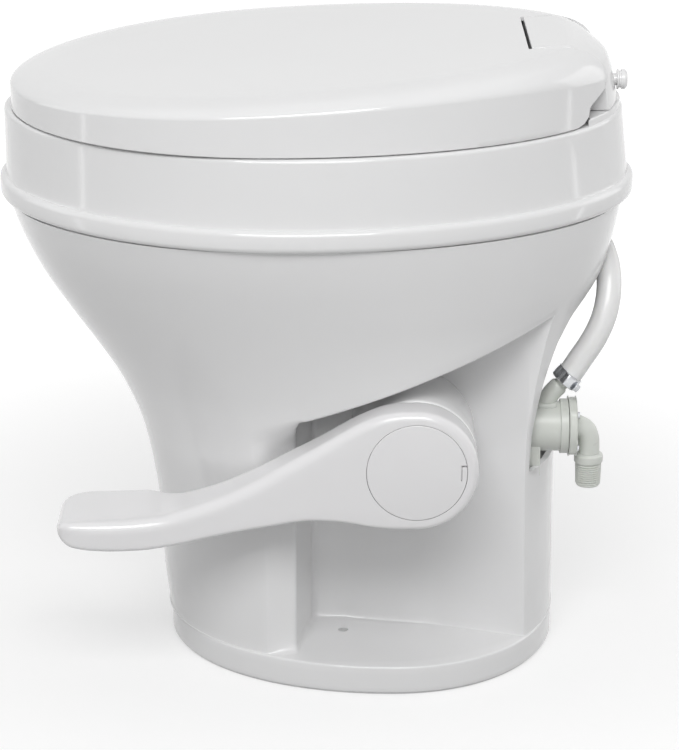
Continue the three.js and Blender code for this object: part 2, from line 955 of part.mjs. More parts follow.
const housingInner = ballRadius + housingGap;
const housingOuter = housingInner + housingWall;
const shaftHoleRadius = stubRadius + 2 * seatingGap;

// The housing's flanges are trimmed beside the gears.
function trimmedHousing(profile) {
  const body = turnedZ(profile, roundPoints);
  const hole = turnedX(rod(shaftHoleRadius, -tubeFlange, tubeFlange), [0, 0], coarsePoints);
  const trim = (side) => box(
    side > 0 ? [housingOuter, tubeFlange + 1] : [-tubeFlange - 1, -housingOuter],
    [-tubeFlange, tubeFlange],
    [-2 * tubeFlangeThick, 2 * tubeFlangeThick],
  );
  return fromSolid(cut(body, hole, trim(1), trim(-1)).translate([0, 0, ballHeight]));
}

const housingTop = linerFoot - 2 * seatingGap - sealHeight - ballHeight;

function ballHousing() {
  const collar = outletRadius + 7;
  const split = seatingGap / 2;
  return trimmedHousing([
    ...sphereArc(housingInner, outletRadius, 1),
    [outletRadius, housingTop],
    [collar, housingTop],
    ...sphereArc(housingOuter, collar, 1).reverse().slice(0, -1),
    [housingOuter, tubeFlangeThick + split],
    [tubeFlange, tubeFlangeThick + split],
    [tubeFlange, split],
    [housingInner, split],
  ]);
}

function outletTube() {
  const bore = tubeRadius - tubeWall;
  const split = -seatingGap / 2;
  const foot = tubeFoot - ballHeight;
  return trimmedHousing([
    ...sphereArc(housingInner, bore, -1),
    [bore, foot],
    [tubeRadius, foot],
    ...sphereArc(housingOuter, tubeRadius, -1).reverse().slice(0, -1),
    [housingOuter, split - tubeFlangeThick],
    [tubeFlange, split - tubeFlangeThick],
    [tubeFlange, split],
    [housingInner, split],
  ]);
}

function ballSeal() {
  const low = ballHeight + housingTop + seatingGap;
  const lipHeight = low - ballHeight;
  const lip = Math.sqrt((ballRadius + housingGap / 2) ** 2 - lipHeight ** 2);
  return fromSolid(turnedZ(sleeve(lip, outletRadius + linerWall + 2, low, low + sealHeight)));
}

function floorSeal() {
  const inner = tubeRadius + seatingGap;
  const outer = floorHoleRadius - seatingGap;
  const waist = (inner + outer) / 2;
  return fromSolid(turnedZ([
    [inner, 0],
    [outer, 0],
    [outer, basePlate],
    [waist + 1, floorSealHeight],
    [inner, floorSealHeight],
    [inner, 0],
  ]));
}

// The shafts that turn the ball
function ballShaft(low, high) {
  return fromSolid(turnedX(rod(stubRadius, low, high), [0, ballHeight], coarsePoints));
}

// Outline of one involute tooth, about its own middle direction
function toothFlanks(teeth, middle) {
  const pitch = (gearModule * teeth) / 2;
  const base = pitch * Math.cos(pressureAngle);
  const tip = pitch + gearModule * gearAddendumShare;
  const root = pitch - gearModule * gearDedendumShare;
  const involute = (radius) => {
    const roll = Math.acos(Math.min(1, base / radius));
    return Math.tan(roll) - roll;
  };
  const thickness = (Math.PI * gearModule) / 2 - gearBacklash / 2;
  const halfAtPitch = thickness / (2 * pitch);
  const start = Math.max(base, root);
  const flank = [];
  for (let i = 0; i < flankPoints; i += 1) {
    const radius = start + ((tip - start) * i) / (flankPoints - 1);
    flank.push([radius, halfAtPitch + involute(pitch) - involute(radius)]);
  }
  if (root < start) {
    flank.unshift([root, flank[0][1]]);
  }
  const rising = flank.map(([radius, half]) => [radius, middle - half]);
  const falling = flank.map(([radius, half]) => [radius, middle + half]).reverse();
  return [...rising, ...falling];
}

// A gear outline from one direction to another, middles at whole tooth steps
function toothedArc(teeth, centre, phase, from, to) {
  const step = (2 * Math.PI) / teeth;
  const outline = [];
  for (let i = Math.ceil((from - phase) / step); phase + i * step < to - 1e-9; i += 1) {
    for (const [radius, turn] of toothFlanks(teeth, phase + i * step)) {
      outline.push([centre[0] + radius * Math.cos(turn), centre[1] + radius * Math.sin(turn)]);
    }
  }
  return outline;
}

function pinion() {
  const step = (2 * Math.PI) / pinionTeeth;
  const outline = toothedArc(pinionTeeth, [0, ballHeight], step / 2, 0, 2 * Math.PI);
  const bore = turnedX(
    rod(stubRadius + seatingGap, gearPlane - 1, gearPlane + gearThick + 1),
    [0, ballHeight],
    coarsePoints,
  );
  return fromSolid(cut(prismX(outline, gearPlane, gearPlane + gearThick), bore));
}

function arcPoints(radius, from, to, steps, centre) {
  const points = [];
  for (let i = 0; i <= steps; i += 1) {
    const turn = from + ((to - from) * i) / steps;
    points.push([centre[0] + radius * Math.cos(turn), centre[1] + radius * Math.sin(turn)]);
  }
  return points;
}

// Sector gear: a toothed rim on two spokes' worth of plate, and a hub
function sectorGear() {
  const centre = [hubY, hubZ];
  const from = sectorFrom * degree;
  const to = sectorTo * degree;
  const teeth = toothedArc(gearTeeth, centre, Math.PI, from, to);
  const plate = prismX(
    [...teeth, ...arcPoints(gearHub - 1, to, from, 4, centre)],
    gearPlane,
    gearPlane + gearThick,
  );
  const hubEnd = camPlane - seatingGap;
  const hub = turnedX(rod(gearHub, gearPlane, hubEnd), centre);
  const bore = turnedX(rod(shaftRadius + seatingGap, gearPlane - 1, hubEnd + 1), centre);
  const middle = (from + to) / 2;
  const pitch = (gearModule * gearTeeth) / 2;
  const windowOuter = pitch - 3 * gearModule;
  const windowInner = gearHub + 2 * gearModule;
  const windowTurn = (to - from) * 0.3;
  const window = prismX(
    [
      ...arcPoints(windowOuter, middle - windowTurn, middle + windowTurn, 6, centre),
      ...arcPoints(windowInner, middle + windowTurn, middle - windowTurn, 4, centre),
    ],
    gearPlane - 1,
    gearPlane + gearThick + 1,
  );
  return fromSolid(cut(join(plate, hub), window, bore));
}

// Cam that pushes the valve plunger back as the pedal goes down.
// Its radius grows evenly with the angle, so the plunger moves evenly too.
function valveCam() {
  const centre = [hubY, hubZ];
  const lobe = [];
  for (let turn = camFrom; turn <= camTo; turn += camStep) {
    const radius = camBase + camRise * turn * degree;
    lobe.push([
      centre[0] + radius * Math.cos(-turn * degree),
      centre[1] + radius * Math.sin(-turn * degree),
    ]);
  }
  const back = arcPoints(
    camHub,
    (-camTo - camStep) * degree,
    (-camFrom - fullTurn + camStep) * degree,
    12,
    centre,
  );
  const body = prismX([...lobe, ...back].reverse(), camPlane, camPlane + camThick);
  const bore = turnedX(
    rod(shaftRadius + seatingGap, camPlane - 1, camPlane + camThick + 1),
    centre,
  );
  return fromSolid(cut(body, bore));
}

const socketEnd = headBack + pedalSocketDepth;

function pedalShaft() {
  const centre = [hubY, hubZ];
  const body = turnedX(rod(shaftRadius, gearPlane - seatingGap, socketEnd), centre);
  const bore = turnedX(
    rod(screwRadius + seatingGap, headBack - seatingGap, socketEnd + 1),
    centre,
    holePoints,
  );
  return fromSolid(cut(body, bore));
}

// Flanged bearing bushes on the shaft
function shaftBush(flangeFrom, flangeTo, low, high) {
  const inner = shaftRadius + seatingGap;
  const outer = inner + bushWall;
  const sleeveBody = turnedX(sleeve(inner, outer, low, high), [hubY, hubZ]);
  const flange = turnedX(
    sleeve(inner, outer + bushFlange, flangeFrom, flangeTo),
    [hubY, hubZ],
  );
  return fromSolid(join(sleeveBody, flange));
}

const outerBush = () => {
  const inside = bossEnd - bossWall - seatingGap;
  return shaftBush(inside - bushFlangeThick, inside, inside - bushFlangeThick, bossEnd);
};

const innerBush = () => {
  const face = bearingPlateX - seatingGap;
  const end = bearingPlateX + bearingPlateThick;
  return shaftBush(face - bushFlangeThick, face, face - bushFlangeThick, end);
};

function bearingPlate() {
  const rim = bossRadius - bossWall - seatingGap;
  const hole = shaftRadius + bushWall + 2 * seatingGap;
  const low = bearingPlateX;
  const high = low + bearingPlateThick;
  const skirt = low + bearingPlateThick * 3;
  const profile = [
    [hole, low],
    [rim, low],
    [rim, skirt],
    [rim - bearingPlateThick, skirt],
    [rim - bearingPlateThick, high],
    [hole, high],
    [hole, low],
  ];
  return fromSolid(turnedX(profile, [hubY, hubZ], roundPoints));
}

function returnSpring() {
  const low = bearingPlateX + bearingPlateThick + springWire + 2 * seatingGap;
  const high = bossEnd - bossWall - bushFlangeThick - springWire - 3;
  const points = [];
  const perTurn = 8;
  for (let i = 0; i <= springTurns * perTurn; i += 1) {
    const share = i / (springTurns * perTurn);
    const turn = 2 * Math.PI * springTurns * share;
    points.push([
      low + (high - low) * share,
      hubY + springRadius * Math.cos(turn),
      hubZ + springRadius * Math.sin(turn),
    ]);
  }
  return pipe(curveThrough(points), springTurns * perTurn, springWire, 0, 5);
}

// Foot pedal. A rounded section in X and Z at one station along the pedal.
function pedalSection(y, far, near, low, high, nearRound, farRound) {
  const ring = [];
  const corner = (x, z, radius, first) => {
    for (let i = 0; i <= cornerSteps; i += 1) {
      const turn = first + (i * Math.PI) / (2 * cornerSteps);
      ring.push(new THREE.Vector3(x + radius * Math.cos(turn), y, z + radius * Math.sin(turn)));
    }
  };
  corner(near - nearRound, high - nearRound, nearRound, 0);
  corner(far + farRound, high - farRound, farRound, Math.PI / 2);
  corner(far + farRound, low + farRound, farRound, Math.PI);
  corner(near - farRound, low + farRound, farRound, (3 * Math.PI) / 2);
  return ring;
}

function pedalStation([reachShare, topShare, bottomShare, widenShare]) {
  return {
    y: hubY - pedalReach * reachShare,
    high: hubZ + headRadius - padTopDrop * topShare,
    low: hubZ - headRadius - padBottomDrop * bottomShare,
    far: headBack - padWiden * widenShare,
  };
}

function pedalArm() {
  const rings = pedalSectionShares.map((row) => {
    const { y, far, low, high } = pedalStation(row);
    const room = (high - low) / 2;
    const nearRound = Math.min(pedalNearRound, room * 0.8);
    const farRound = Math.min(pedalFarRound, room * 0.5);
    return pedalSection(y, far, headFace, low, high, nearRound, farRound);
  });
  return toSolid(loft(rings, false));
}

// The space under the pedal's skin, open below
function pedalHollow() {
  const inner = pedalSectionShares
    .filter(([reachShare]) => reachShare > 0.25 && reachShare < 0.98)
    .map((row) => {
      const { y, far, low, high } = pedalStation(row);
      const round = pedalFarRound / 2;
      return pedalSection(
        y,
        far + pedalSkin,
        headFace - pedalSkin,
        low - overrun,
        high - pedalSkin,
        round,
        round,
      );
    });
  return toSolid(loft(inner, false));
}

function footPedal() {
  const centre = [hubY, hubZ];
  const rounding = headRound;
  const head = turnedX(
    [
      [0, headBack],
      [headRadius, headBack],
      [headRadius, headFace - rounding],
      [headRadius - rounding * 0.3, headFace - rounding * 0.3],
      [headRadius - rounding, headFace],
      [0, headFace],
    ],
    centre,
    finePoints,
  );
  const pocket = turnedX(rod(capPocket, headFace - capPocketDepth, headFace + 1), centre, roundPoints);
  const bore = turnedX(
    rod(shaftRadius + seatingGap, headBack - 1, socketEnd + seatingGap),
    centre,
  );
  const screwHole = turnedX(
    rod(screwRadius + seatingGap, headBack, headFace),
    centre,
    holePoints,
  );
  const arm = cut(pedalArm(), pedalHollow());
  return fromSolid(cut(join(head, arm), pocket, bore, screwHole));
}

function hubCap() {
  const low = headFace + seatingGap;
  const high = low + capThick;
  const plug = capPocket - seatingGap;
  return fromSolid(turnedX(
    [
      [0, low],
      [plug - pedalWall, low],
      [plug - pedalWall, low - capThick * 2],
      [plug, low - capThick * 2],
      [plug, low],
      [capRadius, low],
      [capRadius, high - capThick / 2],
      [capRadius - capThick / 2, high],
      [0, high + capThick / 4],
    ],
    [hubY, hubZ],
    finePoints,
  ));
}

function pedalScrew() {
  const seat = headFace - capPocketDepth + seatingGap;
  const shank = turnedX(rod(screwRadius, headBack + 1, seat + 1), [hubY, hubZ], holePoints);
  const head = turnedX(rod(screwHeadRadius, seat, seat + screwHeadThick), [hubY, hubZ], coarsePoints);
  const half = screwRadius;
  const top = seat + screwHeadThick + 1;
  const slotDepth = [top - screwHeadThick * 0.6, top];
  const slot = join(
    box(slotDepth, [hubY - half, hubY + half], [hubZ - half / 4, hubZ + half / 4]),
    box(slotDepth, [hubY - half / 4, hubY + half / 4], [hubZ - half, hubZ + half]),
  );
  return fromSolid(cut(join(shank, head), slot));
}

// Water valve
const bracketBack = valveFrom - seatingGap;
const bracketFront = bracketBack - bracketThick;
const chamberRadius = valveRadius - 4;
const chamberFrom = valveFrom + 6;

// Inner face of a foot well's wall at a station along Y
function wellWallAt(y) {
  const share = (y - wellMiddle) / (wellEndY - wellMiddle);
  return wellInnerRear - wellWall + (wellEndX - wellInnerRear) * share;
}

function neckCurve() {
  return curveThrough([
    [valveX, neckY, valveZ + chamberRadius / 2],
    [valveX, neckY, neckTop - neckRadius],
    [valveX, neckY + 3, neckTop],
    ...hoseRoute.slice(0, 3),
  ]);
}

function valveBody() {
  const centre = [valveX, valveZ];
  const noseFrom = valveFrom - valveNose;
  const body = join(
    turnedY(rod(valveRadius, valveFrom, valveTo), centre, roundPoints),
    turnedY(rod(valveNoseRadius, noseFrom, valveFrom + 1), centre, coarsePoints),
  );
  const chamber = turnedY(rod(chamberRadius, chamberFrom, valveTo + 1), centre, roundPoints);
  const guide = turnedY(
    rod(plungerRadius + seatingGap, noseFrom - 1, chamberFrom + 1),
    centre,
    holePoints,
  );
  const curve = neckCurve();
  const steps = 10;
  const barb = hoseBore - seatingGap;
  const width = (share) => (share < neckShare ? neckRadius : barb);
  const neck = toSolid(loft(tubeRings(curve, steps, width, holePoints), false));
  const bore = toSolid(loft(tubeRings(curve, steps, () => neckBore, boreSides), false));
  const openEnd = curve.getPointAt(1);
  const way = curve.getTangentAt(1);
  const beyond = openEnd.clone().addScaledVector(way, neckRadius);
  const mouth = toSolid(pipe(
    new THREE.CatmullRomCurve3([openEnd.clone().addScaledVector(way, -1), beyond]),
    1,
    neckBore,
    0,
    holePoints,
  ));
  const lug = box(
    [valveX - lugHalf, valveX + lugHalf],
    [neckY - lugHalf, neckY + lugHalf],
    [valveZ + chamberRadius, valveZ + valveRadius + lugHalf / 2],
  );
  return fromSolid(cut(join(body, neck, lug), chamber, guide, bore, mouth));
}

function valveEndCap() {
  const low = valveTo + seatingGap;
  const centre = [valveX, valveZ];
  const disc = turnedY(rod(valveFlangeRadius, low, low + valveFlangeThick), centre, roundPoints);
  const port = turnedY(
    rod(elbowBore, low - 1, low + valveFlangeThick + 1),
    [valveX, valveZ],
    coarsePoints,
  );
  const hole = (turn) => turnedY(
    rod(capScrewRadius + seatingGap / 2, low - 1, low + valveFlangeThick + 1),
    [
      valveX + capScrewCircle * Math.cos(turn),
      valveZ + capScrewCircle * Math.sin(turn),
    ],
    holePoints,
  );
  return fromSolid(cut(disc, port, ...capScrewTurns().map(hole)));
}

function capScrewTurns() {
  return [0, 1, 2, 3].map((i) => Math.PI / 4 + (i * Math.PI) / 2);
}

function capScrew(turn) {
  const face = valveTo + 2 * seatingGap + valveFlangeThick;
  const centre = [
    valveX + capScrewCircle * Math.cos(turn),
    valveZ + capScrewCircle * Math.sin(turn),
  ];
  return fromSolid(join(
    turnedY(rod(capScrewRadius, valveTo + 2 * seatingGap, face + 1), centre, holePoints),
    turnedY(rod(capScrewRadius * 1.6, face, face + capScrewRadius), centre, holePoints),
  ));
}

// Inlet elbow: out of the end cap, down through a collar to a threaded spigot
function inletElbow() {
  const start = valveTo + 2 * seatingGap + valveFlangeThick;
  const reach = elbowDropY - start;
  const bend = curveThrough([
    [valveX, start, valveZ],
    [valveX, start + reach * 0.25, valveZ - reach * 0.03],
    [valveX, start + reach * 0.72, valveZ - reach * 0.35],
    [valveX, elbowDropY - reach * 0.04, valveZ - reach * 0.95],
    [valveX, elbowDropY, valveZ - reach * 1.5],
    [valveX, elbowDropY, collarTop - collarHeight],
  ]);
  const tube = toSolid(pipe(bend, elbowSteps, elbowRadius, 0, coarsePoints));
  const centred = (body) => body.translate([valveX, elbowDropY, 0]);
  const collar = centred(turnedZ(rod(collarRadius, collarTop - collarHeight, collarTop), roundPoints));
  const thread = [[0, spigotFoot]];
  const top = collarTop - collarHeight;
  const count = Math.floor((top - spigotFoot) / threadPitch);
  for (let i = 0; i < count; i += 1) {
    const low = spigotFoot + i * threadPitch;
    thread.push([spigotRadius - threadDepth, low]);
    thread.push([spigotRadius, low + threadPitch / 2]);
  }
  thread.push([spigotRadius - threadDepth, spigotFoot + count * threadPitch]);
  thread.push([spigotRadius - threadDepth, top + 1]);
  thread.push([0, top + 1]);
  const spigot = centred(turnedZ(thread, coarsePoints));
  const way = toSolid(pipe(bend, elbowSteps, elbowBore, 0, boreSides));
  const mouth = turnedY(rod(elbowBore, start - 1, start + 1), [valveX, valveZ], boreSides);
  const drop = centred(turnedZ(rod(elbowBore, spigotFoot - 1, collarTop), boreSides));
  const before = box(
    [valveX - valveRadius, valveX + valveRadius],
    [valveTo, start],
    [valveZ - valveRadius, valveZ + valveRadius],
  );
  return fromSolid(cut(join(tube, collar, spigot), way, mouth, drop, before));
}

// Plate across the column that carries the valve
function valveBracket() {
  const front = wellWallAt(bracketFront) - seatingGap;
  const back = wellWallAt(bracketBack) - seatingGap;
  const plate = prismZ(
    [
      [-front, bracketFront],
      [front, bracketFront],
      [back, bracketBack],
      [-back, bracketBack],
    ],
    bracketBottom,
    bracketTop,
  );
  const hole = turnedY(
    rod(valveNoseRadius + seatingGap, bracketFront - 1, bracketBack + 1),
    [valveX, valveZ],
    coarsePoints,
  );
  const light = turnedY(
    rod(tubeRadius, bracketFront - 1, bracketBack + 1),
    [-valveX / 2, valveZ],
    roundPoints,
  );
  return fromSolid(cut(plate, hole, light));
}

// Plunger between the cam and the valve, with the disc that lifts off its seat
const camLean = Math.atan((hubZ - valveZ) / camBase);
const plungerFront = hubY + (camBase + camRise * camLean) * Math.cos(camLean) + tipClearance;

function valvePlunger() {
  const centre = [valveX, valveZ];
  const disc = chamberFrom + plungerDiscOffset;
  const profile = [[0, plungerFront]];
  for (let i = 1; i <= 4; i += 1) {
    const turn = (i * Math.PI) / 8;
    profile.push([
      plungerTip * Math.sin(turn),
      plungerFront + plungerTip * (1 - Math.cos(turn)),
    ]);
  }
  profile.push([plungerRadius, plungerFront + plungerTip * 1.3]);
  profile.push([plungerRadius, disc]);
  profile.push([chamberRadius * 0.7, disc]);
  profile.push([chamberRadius * 0.7, disc + plungerRadius]);
  profile.push([0, disc + plungerRadius]);
  return fromSolid(turnedY(profile, centre, coarsePoints));
}

// Flush hose, held by a barb at both ends
function hoseCurve() {
  return curveThrough(hoseRoute);
}

function flushHose() {
  return pipe(hoseCurve(), hoseSteps, hoseRadius, hoseBore, holePoints);
}

// Worm-drive clamp: a band round the hose with its screw housing
function hoseClamp(share, screwTurn) {
  const curve = hoseCurve();
  const middle = curve.getPointAt(share);
  const way = curve.getTangentAt(share);
  const band = turnedZ(
    sleeve(
      hoseRadius + clampSlack,
      hoseRadius + clampSlack + clampBand,
      -clampWidth / 2,
      clampWidth / 2,
    ),
    coarsePoints,
  );
  const out = hoseRadius + clampSlack + clampBand;
  const housing = box(
    [out - clampBand / 2, out + clampScrew * 1.6],
    [-clampScrew * 2, clampScrew * 2],
    [-clampWidth * 0.45, clampWidth * 0.45],
  );
  const screw = turnedY(
    rod(clampScrew, clampScrew * 2 - 1, clampScrew * 4),
    [out + clampScrew * 0.8, 0],
    holePoints,
  );
  const body = fromSolid(join(band, housing, screw));
  const turn = new THREE.Quaternion().setFromUnitVectors(new THREE.Vector3(0, 0, 1), way);
  body.rotateZ(screwTurn);
  body.applyQuaternion(turn);
  body.translate(middle.x, middle.y, middle.z);
  return body;
}

// Nozzle that lets the rinse water into the bowl under the rim
function rimNozzle() {
  const centre = [hoseEndX, nozzleZ];
  const barb = hoseBore - seatingGap;
  const body = join(
    turnedY(rod(nozzleRadius, nozzleFrom + linerWall / 2, nozzleMiddle), centre, coarsePoints),
    turnedY(rod(nozzleRadius * 1.5, nozzleMiddle - pedalWall, nozzleMiddle), centre, coarsePoints),
    turnedY(rod(barb, nozzleMiddle - 1, nozzleTail), centre, holePoints),
  );
  const stack = turnedZ(
    rod(breakerRadius, nozzleZ, nozzleZ + breakerHeight),
    coarsePoints,
  ).translate([hoseEndX, nozzleStack, 0]);
  const well = turnedZ(
    rod(breakerRadius - pedalWall, nozzleZ + nozzleRadius, nozzleZ + breakerHeight + 1),
    coarsePoints,
  ).translate([hoseEndX, nozzleStack, 0]);
  const bore = turnedY(rod(neckBore, nozzleFrom, nozzleTail + 1), centre, holePoints);
  return fromSolid(cut(join(body, stack), well, bore));
}

// Cap of the vacuum breaker that stands on the nozzle
function breakerCap() {
  const foot = nozzleZ + breakerHeight + seatingGap;
  const body = turnedZ(
    [
      [0, foot],
      [breakerRadius + 1, foot],
      [breakerRadius + 1, foot + pedalWall],
      [breakerRadius - 2, foot + pedalWall * 2],
      [0, foot + pedalWall * 2],
    ],
    coarsePoints,
  );
  return fromSolid(body.translate([hoseEndX, nozzleStack, 0]));
}

// Hinge cover: the fixed housing between the lid's two wings
function coverProfile(by) {
  return coverOutline.map(([y, z], i) => {
    const inward = coverInward[i];
    return [y + by * inward[0], z + by * inward[1]];
  });
}

function coverBody(by) {
  const rings = [];
  const half = coverHalfWidth - by;
  for (let i = 0; i <= coverSteps; i += 1) {
    const x = -half + (2 * half * i) / coverSteps;
    const bow = coverBow * (1 - (x / coverHalfWidth) ** 2);
    const ring = coverProfile(by).map(([y, z], j) => new THREE.Vector3(
      x,
      y + bow * coverBowShares[j],
      z,
    ));
    rings.push(ring);
  }
  return toSolid(loft(rings, false));
}

function hingeCover() {
  const inside = coverBody(coverWall);
  const hole = turnedY(
    rod(hingeBoltRadius + seatingGap, hingeY, skirtRear),
    [0, hingeBoltZ],
    holePoints,
  );
  const pinHole = turnedX(
    rod(pinRadius + seatingGap, -coverHalfWidth - 1, coverHalfWidth + 1),
    [hingeY, hingeZ],
    holePoints,
  );
  return fromSolid(cut(coverBody(0), inside, hole, pinHole));
}

function hingeBolt() {
  const centre = [0, hingeBoltZ];
  const headFrom = boltHeadY;
  const shank = turnedY(
    rod(hingeBoltRadius, hingeY + pedalWall, headFrom + 1),
    centre,
    holePoints,
  );
  const washer = turnedY(rod(hingeHeadRadius, headFrom - washerThick, headFrom + 1), centre, roundPoints);
  const head = turnedY(
    [
      [0, headFrom],
      [hingeHeadRadius - 1, headFrom],
      [hingeHeadRadius - 1, headFrom + boltHeadThick * 0.6],
      [hingeHeadRadius - 3, headFrom + boltHeadThick],
      [0, headFrom + boltHeadThick],
    ],
    centre,
    coarsePoints,
  );
  const slot = box(
    [-slitHalf, slitHalf],
    [headFrom + boltHeadThick / 2, headFrom + boltHeadThick + 1],
    [hingeBoltZ - hingeHeadRadius, hingeBoltZ + hingeHeadRadius],
  );
  return fromSolid(cut(join(shank, washer, head), slot));
}

function hingeNut() {
  const post = hingeY + postOffset;
  const outline = arcPoints(hingeHeadRadius - 1, 0, (5 * Math.PI) / 3, 5, [0, hingeBoltZ]);
  const body = prismY(outline, post - seatingGap - nutThick, post - seatingGap);
  const bore = turnedY(
    rod(hingeBoltRadius + seatingGap, post - 2 * nutThick, post + 1),
    [0, hingeBoltZ],
    holePoints,
  );
  return fromSolid(cut(body, bore));
}

// One of the two pins on which the seat and the lid turn
function hingePin(side) {
  const from = coverHalfWidth - coverWall - pinInside;
  const spans = side > 0 ? [from, pinReach] : [-pinReach, -from];
  return fromSolid(turnedX(rod(pinRadius, ...spans), [hingeY, hingeZ], holePoints));
}

// An ear on the hinge axis, joined to an outline that leads to its piece
function ear(side, from, radius, neck) {
  const span = side > 0 ? [from, from + earThick] : [-from - earThick, -from];
  const disc = turnedX(rod(radius, ...span), [hingeY, hingeZ], coarsePoints);
  return join(disc, prismX(neck, ...span));
}

function pinBore(from) {
  return (side) => turnedX(
    rod(
      pinRadius + seatingGap,
      ...(side > 0 ? [from - 1, pinReach + 1] : [-pinReach - 1, 1 - from]),
    ),
    [hingeY, hingeZ],
    holePoints,
  );
}

// Seat ring, hollow underneath, with an arm up to each hinge pin
function seatRing() {
  const outer = {
    half: seatHalfWidth,
    front: seatFront,
    rear: seatRear,
    widest: seatWidest,
  };
  const hole = {
    half: seatHoleHalfWidth,
    front: seatHoleFront,
    rear: seatHoleRear,
    widest: seatWidest,
  };
  const skin = lidWall;
  const ring = (size, height) => eggRing(size, height, 2);
  const body = toSolid(loft(
    [
      ring(outer, seatUnderside),
      ring(outer, seatTop - seatEdge),
      ring(inset(outer, seatEdge * 0.3), seatTop - seatEdge * 0.3),
      ring(inset(outer, seatEdge), seatTop),
      ring(inset(hole, -seatEdge * 3), seatTop),
      ring(inset(hole, -seatEdge), seatTop - seatEdge * 0.6),
      ring(hole, seatTop - seatEdge * 1.6),
      ring(hole, seatUnderside),
      ring(inset(hole, -skin), seatUnderside),
      ring(inset(hole, -skin), seatTop - seatEdge * 1.6 - skin / 2),
      ring(inset(outer, skin + seatEdge * 0.3), seatTop - skin),
      ring(inset(outer, skin), seatUnderside),
    ],
    true,
  ));
  const notch = box(
    [-lidCutHalfWidth, lidCutHalfWidth],
    [seatNotchY, seatRear + overrun],
    [deckHeight, seatTop + overrun],
  );
  const armFrom = seatNotchY + earRadius;
  const arm = [
    [armFrom, seatUnderside],
    [armFrom + 3 * earRadius, seatUnderside],
    [hingeY - earRadius * 2.2, hingeZ - earRadius * 1.06],
    [hingeY, hingeZ - seatEarRadius],
    [hingeY - seatEarRadius * 0.7, hingeZ + seatEarRadius * 0.7],
    [armFrom, seatTop],
  ];
  const arms = [1, -1].map((side) => ear(side, seatEarX, seatEarRadius, arm));
  const bores = [1, -1].map(pinBore(seatEarX));
  return fromSolid(cut(join(cut(body, notch), ...arms), ...bores));
}

// A small round pad
function pad([x, y], radius, low, high) {
  return fromSolid(turnedZ(rod(radius, low, high), holePoints).translate([x, y, 0]));
}

// The four places of a set of pads, from one side's two
function mirrored(spots) {
  return spots.flatMap(([x, y]) => [[x, y], [-x, y]]);
}

// Lid: its top is a plane that climbs to the back, with an even crown
function lidTopAt(y) {
  return lidTopFront + lidTopSlope * (y + lidFront - edgeFront);
}

function edgeAt(y) {
  const share = Math.min(1, Math.max(0, (y + lidFront) / (lidFront + lidRear)));
  return edgeFront + (edgeRear - edgeFront) * share ** 2 + edgeTail * share ** edgeTailPower;
}

// The lid's outside at a depth: one outline drawn in towards the lid's middle,
// up the skirt, round the edge, over the shoulder and in over the top.
function lidOuter(by, low) {
  const size = { half: lidHalfWidth, front: lidFront, rear: lidRear, widest: lidWidest };
  const outline = eggRing(inset(size, by), low, lidPower);
  const drawn = (point, inward, heightAt) => {
    const share = inward / Math.hypot(point.x, point.y - lidWidest);
    const y = point.y - (point.y - lidWidest) * share;
    return new THREE.Vector3(point.x * (1 - share), y, heightAt(y));
  };
  const rounded = (turn) => outline.map((point) => {
    const edge = edgeAt(point.y);
    const top = drawn(point, edge, lidTopAt).z - by;
    return drawn(point, edge * (1 - Math.cos(turn)), () => top - edge * (1 - Math.sin(turn)));
  });
  const crowned = (share) => outline.map((point) => {
    const edge = edgeAt(point.y);
    const rise = lidCrown * (1 - (1 - Math.min(1, share)) ** 2);
    return drawn(point, edge + (lidShoulder - edge) * share, (y) => lidTopAt(y) - by + rise);
  });
  const rings = [outline];
  for (let i = 0; i <= lidEdgeSteps; i += 1) {
    rings.push(rounded((i / lidEdgeSteps) * quarterTurn));
  }
  rings.push(crowned(1 / 2), crowned(1));
  rings.push(outline.map((point) => drawn(point, lidShoulder * 3, (y) => lidTopAt(y) - by + lidCrown)));
  return toSolid(loft(rings, false));
}

function lidShell() {
  const outside = lidOuter(0, lidUnderside);
  const inside = lidOuter(lidWall, lidUnderside - 1);
  const slot = box(
    [-lidCutHalfWidth, lidCutHalfWidth],
    [lidCutY, lidRear + overrun],
    [deckHeight - overrun, lidTopFront + 2 * overrun],
  );
  const behind = prismX(
    [
      [hingeY - earRadius * 1.4, deckHeight - overrun],
      [lidRear + overrun, deckHeight - overrun],
      [lidRear + overrun, hingeZ - 3],
      [hingeY + 2 * earRadius, hingeZ - 3],
      [hingeY + 1.9 * earRadius, hingeZ - earRadius * 1.4],
      [hingeY + earRadius * 0.9, hingeZ - earRadius * 2],
      [hingeY, hingeZ - earRadius * 2.8],
      [hingeY - earRadius * 0.2, hingeZ - earRadius * 4],
      [hingeY - earRadius * 1.4, deckHeight + seatingGap * 4],
    ],
    -lidHalfWidth - overrun,
    lidHalfWidth + overrun,
  );
  const neck = [
    [hingeY - earRadius, hingeZ],
    [hingeY + earRadius, hingeZ],
    [hingeY + earRadius, hingeZ + overrun],
    [hingeY - earRadius * 2, hingeZ + overrun],
  ];
  const ears = [1, -1].map((side) => ear(side, lidEarX, earRadius, neck).intersect(outside));
  const bores = [1, -1].map(pinBore(lidCutHalfWidth));
  return fromSolid(cut(join(cut(outside, inside, slot, behind), ...ears), ...bores));
}

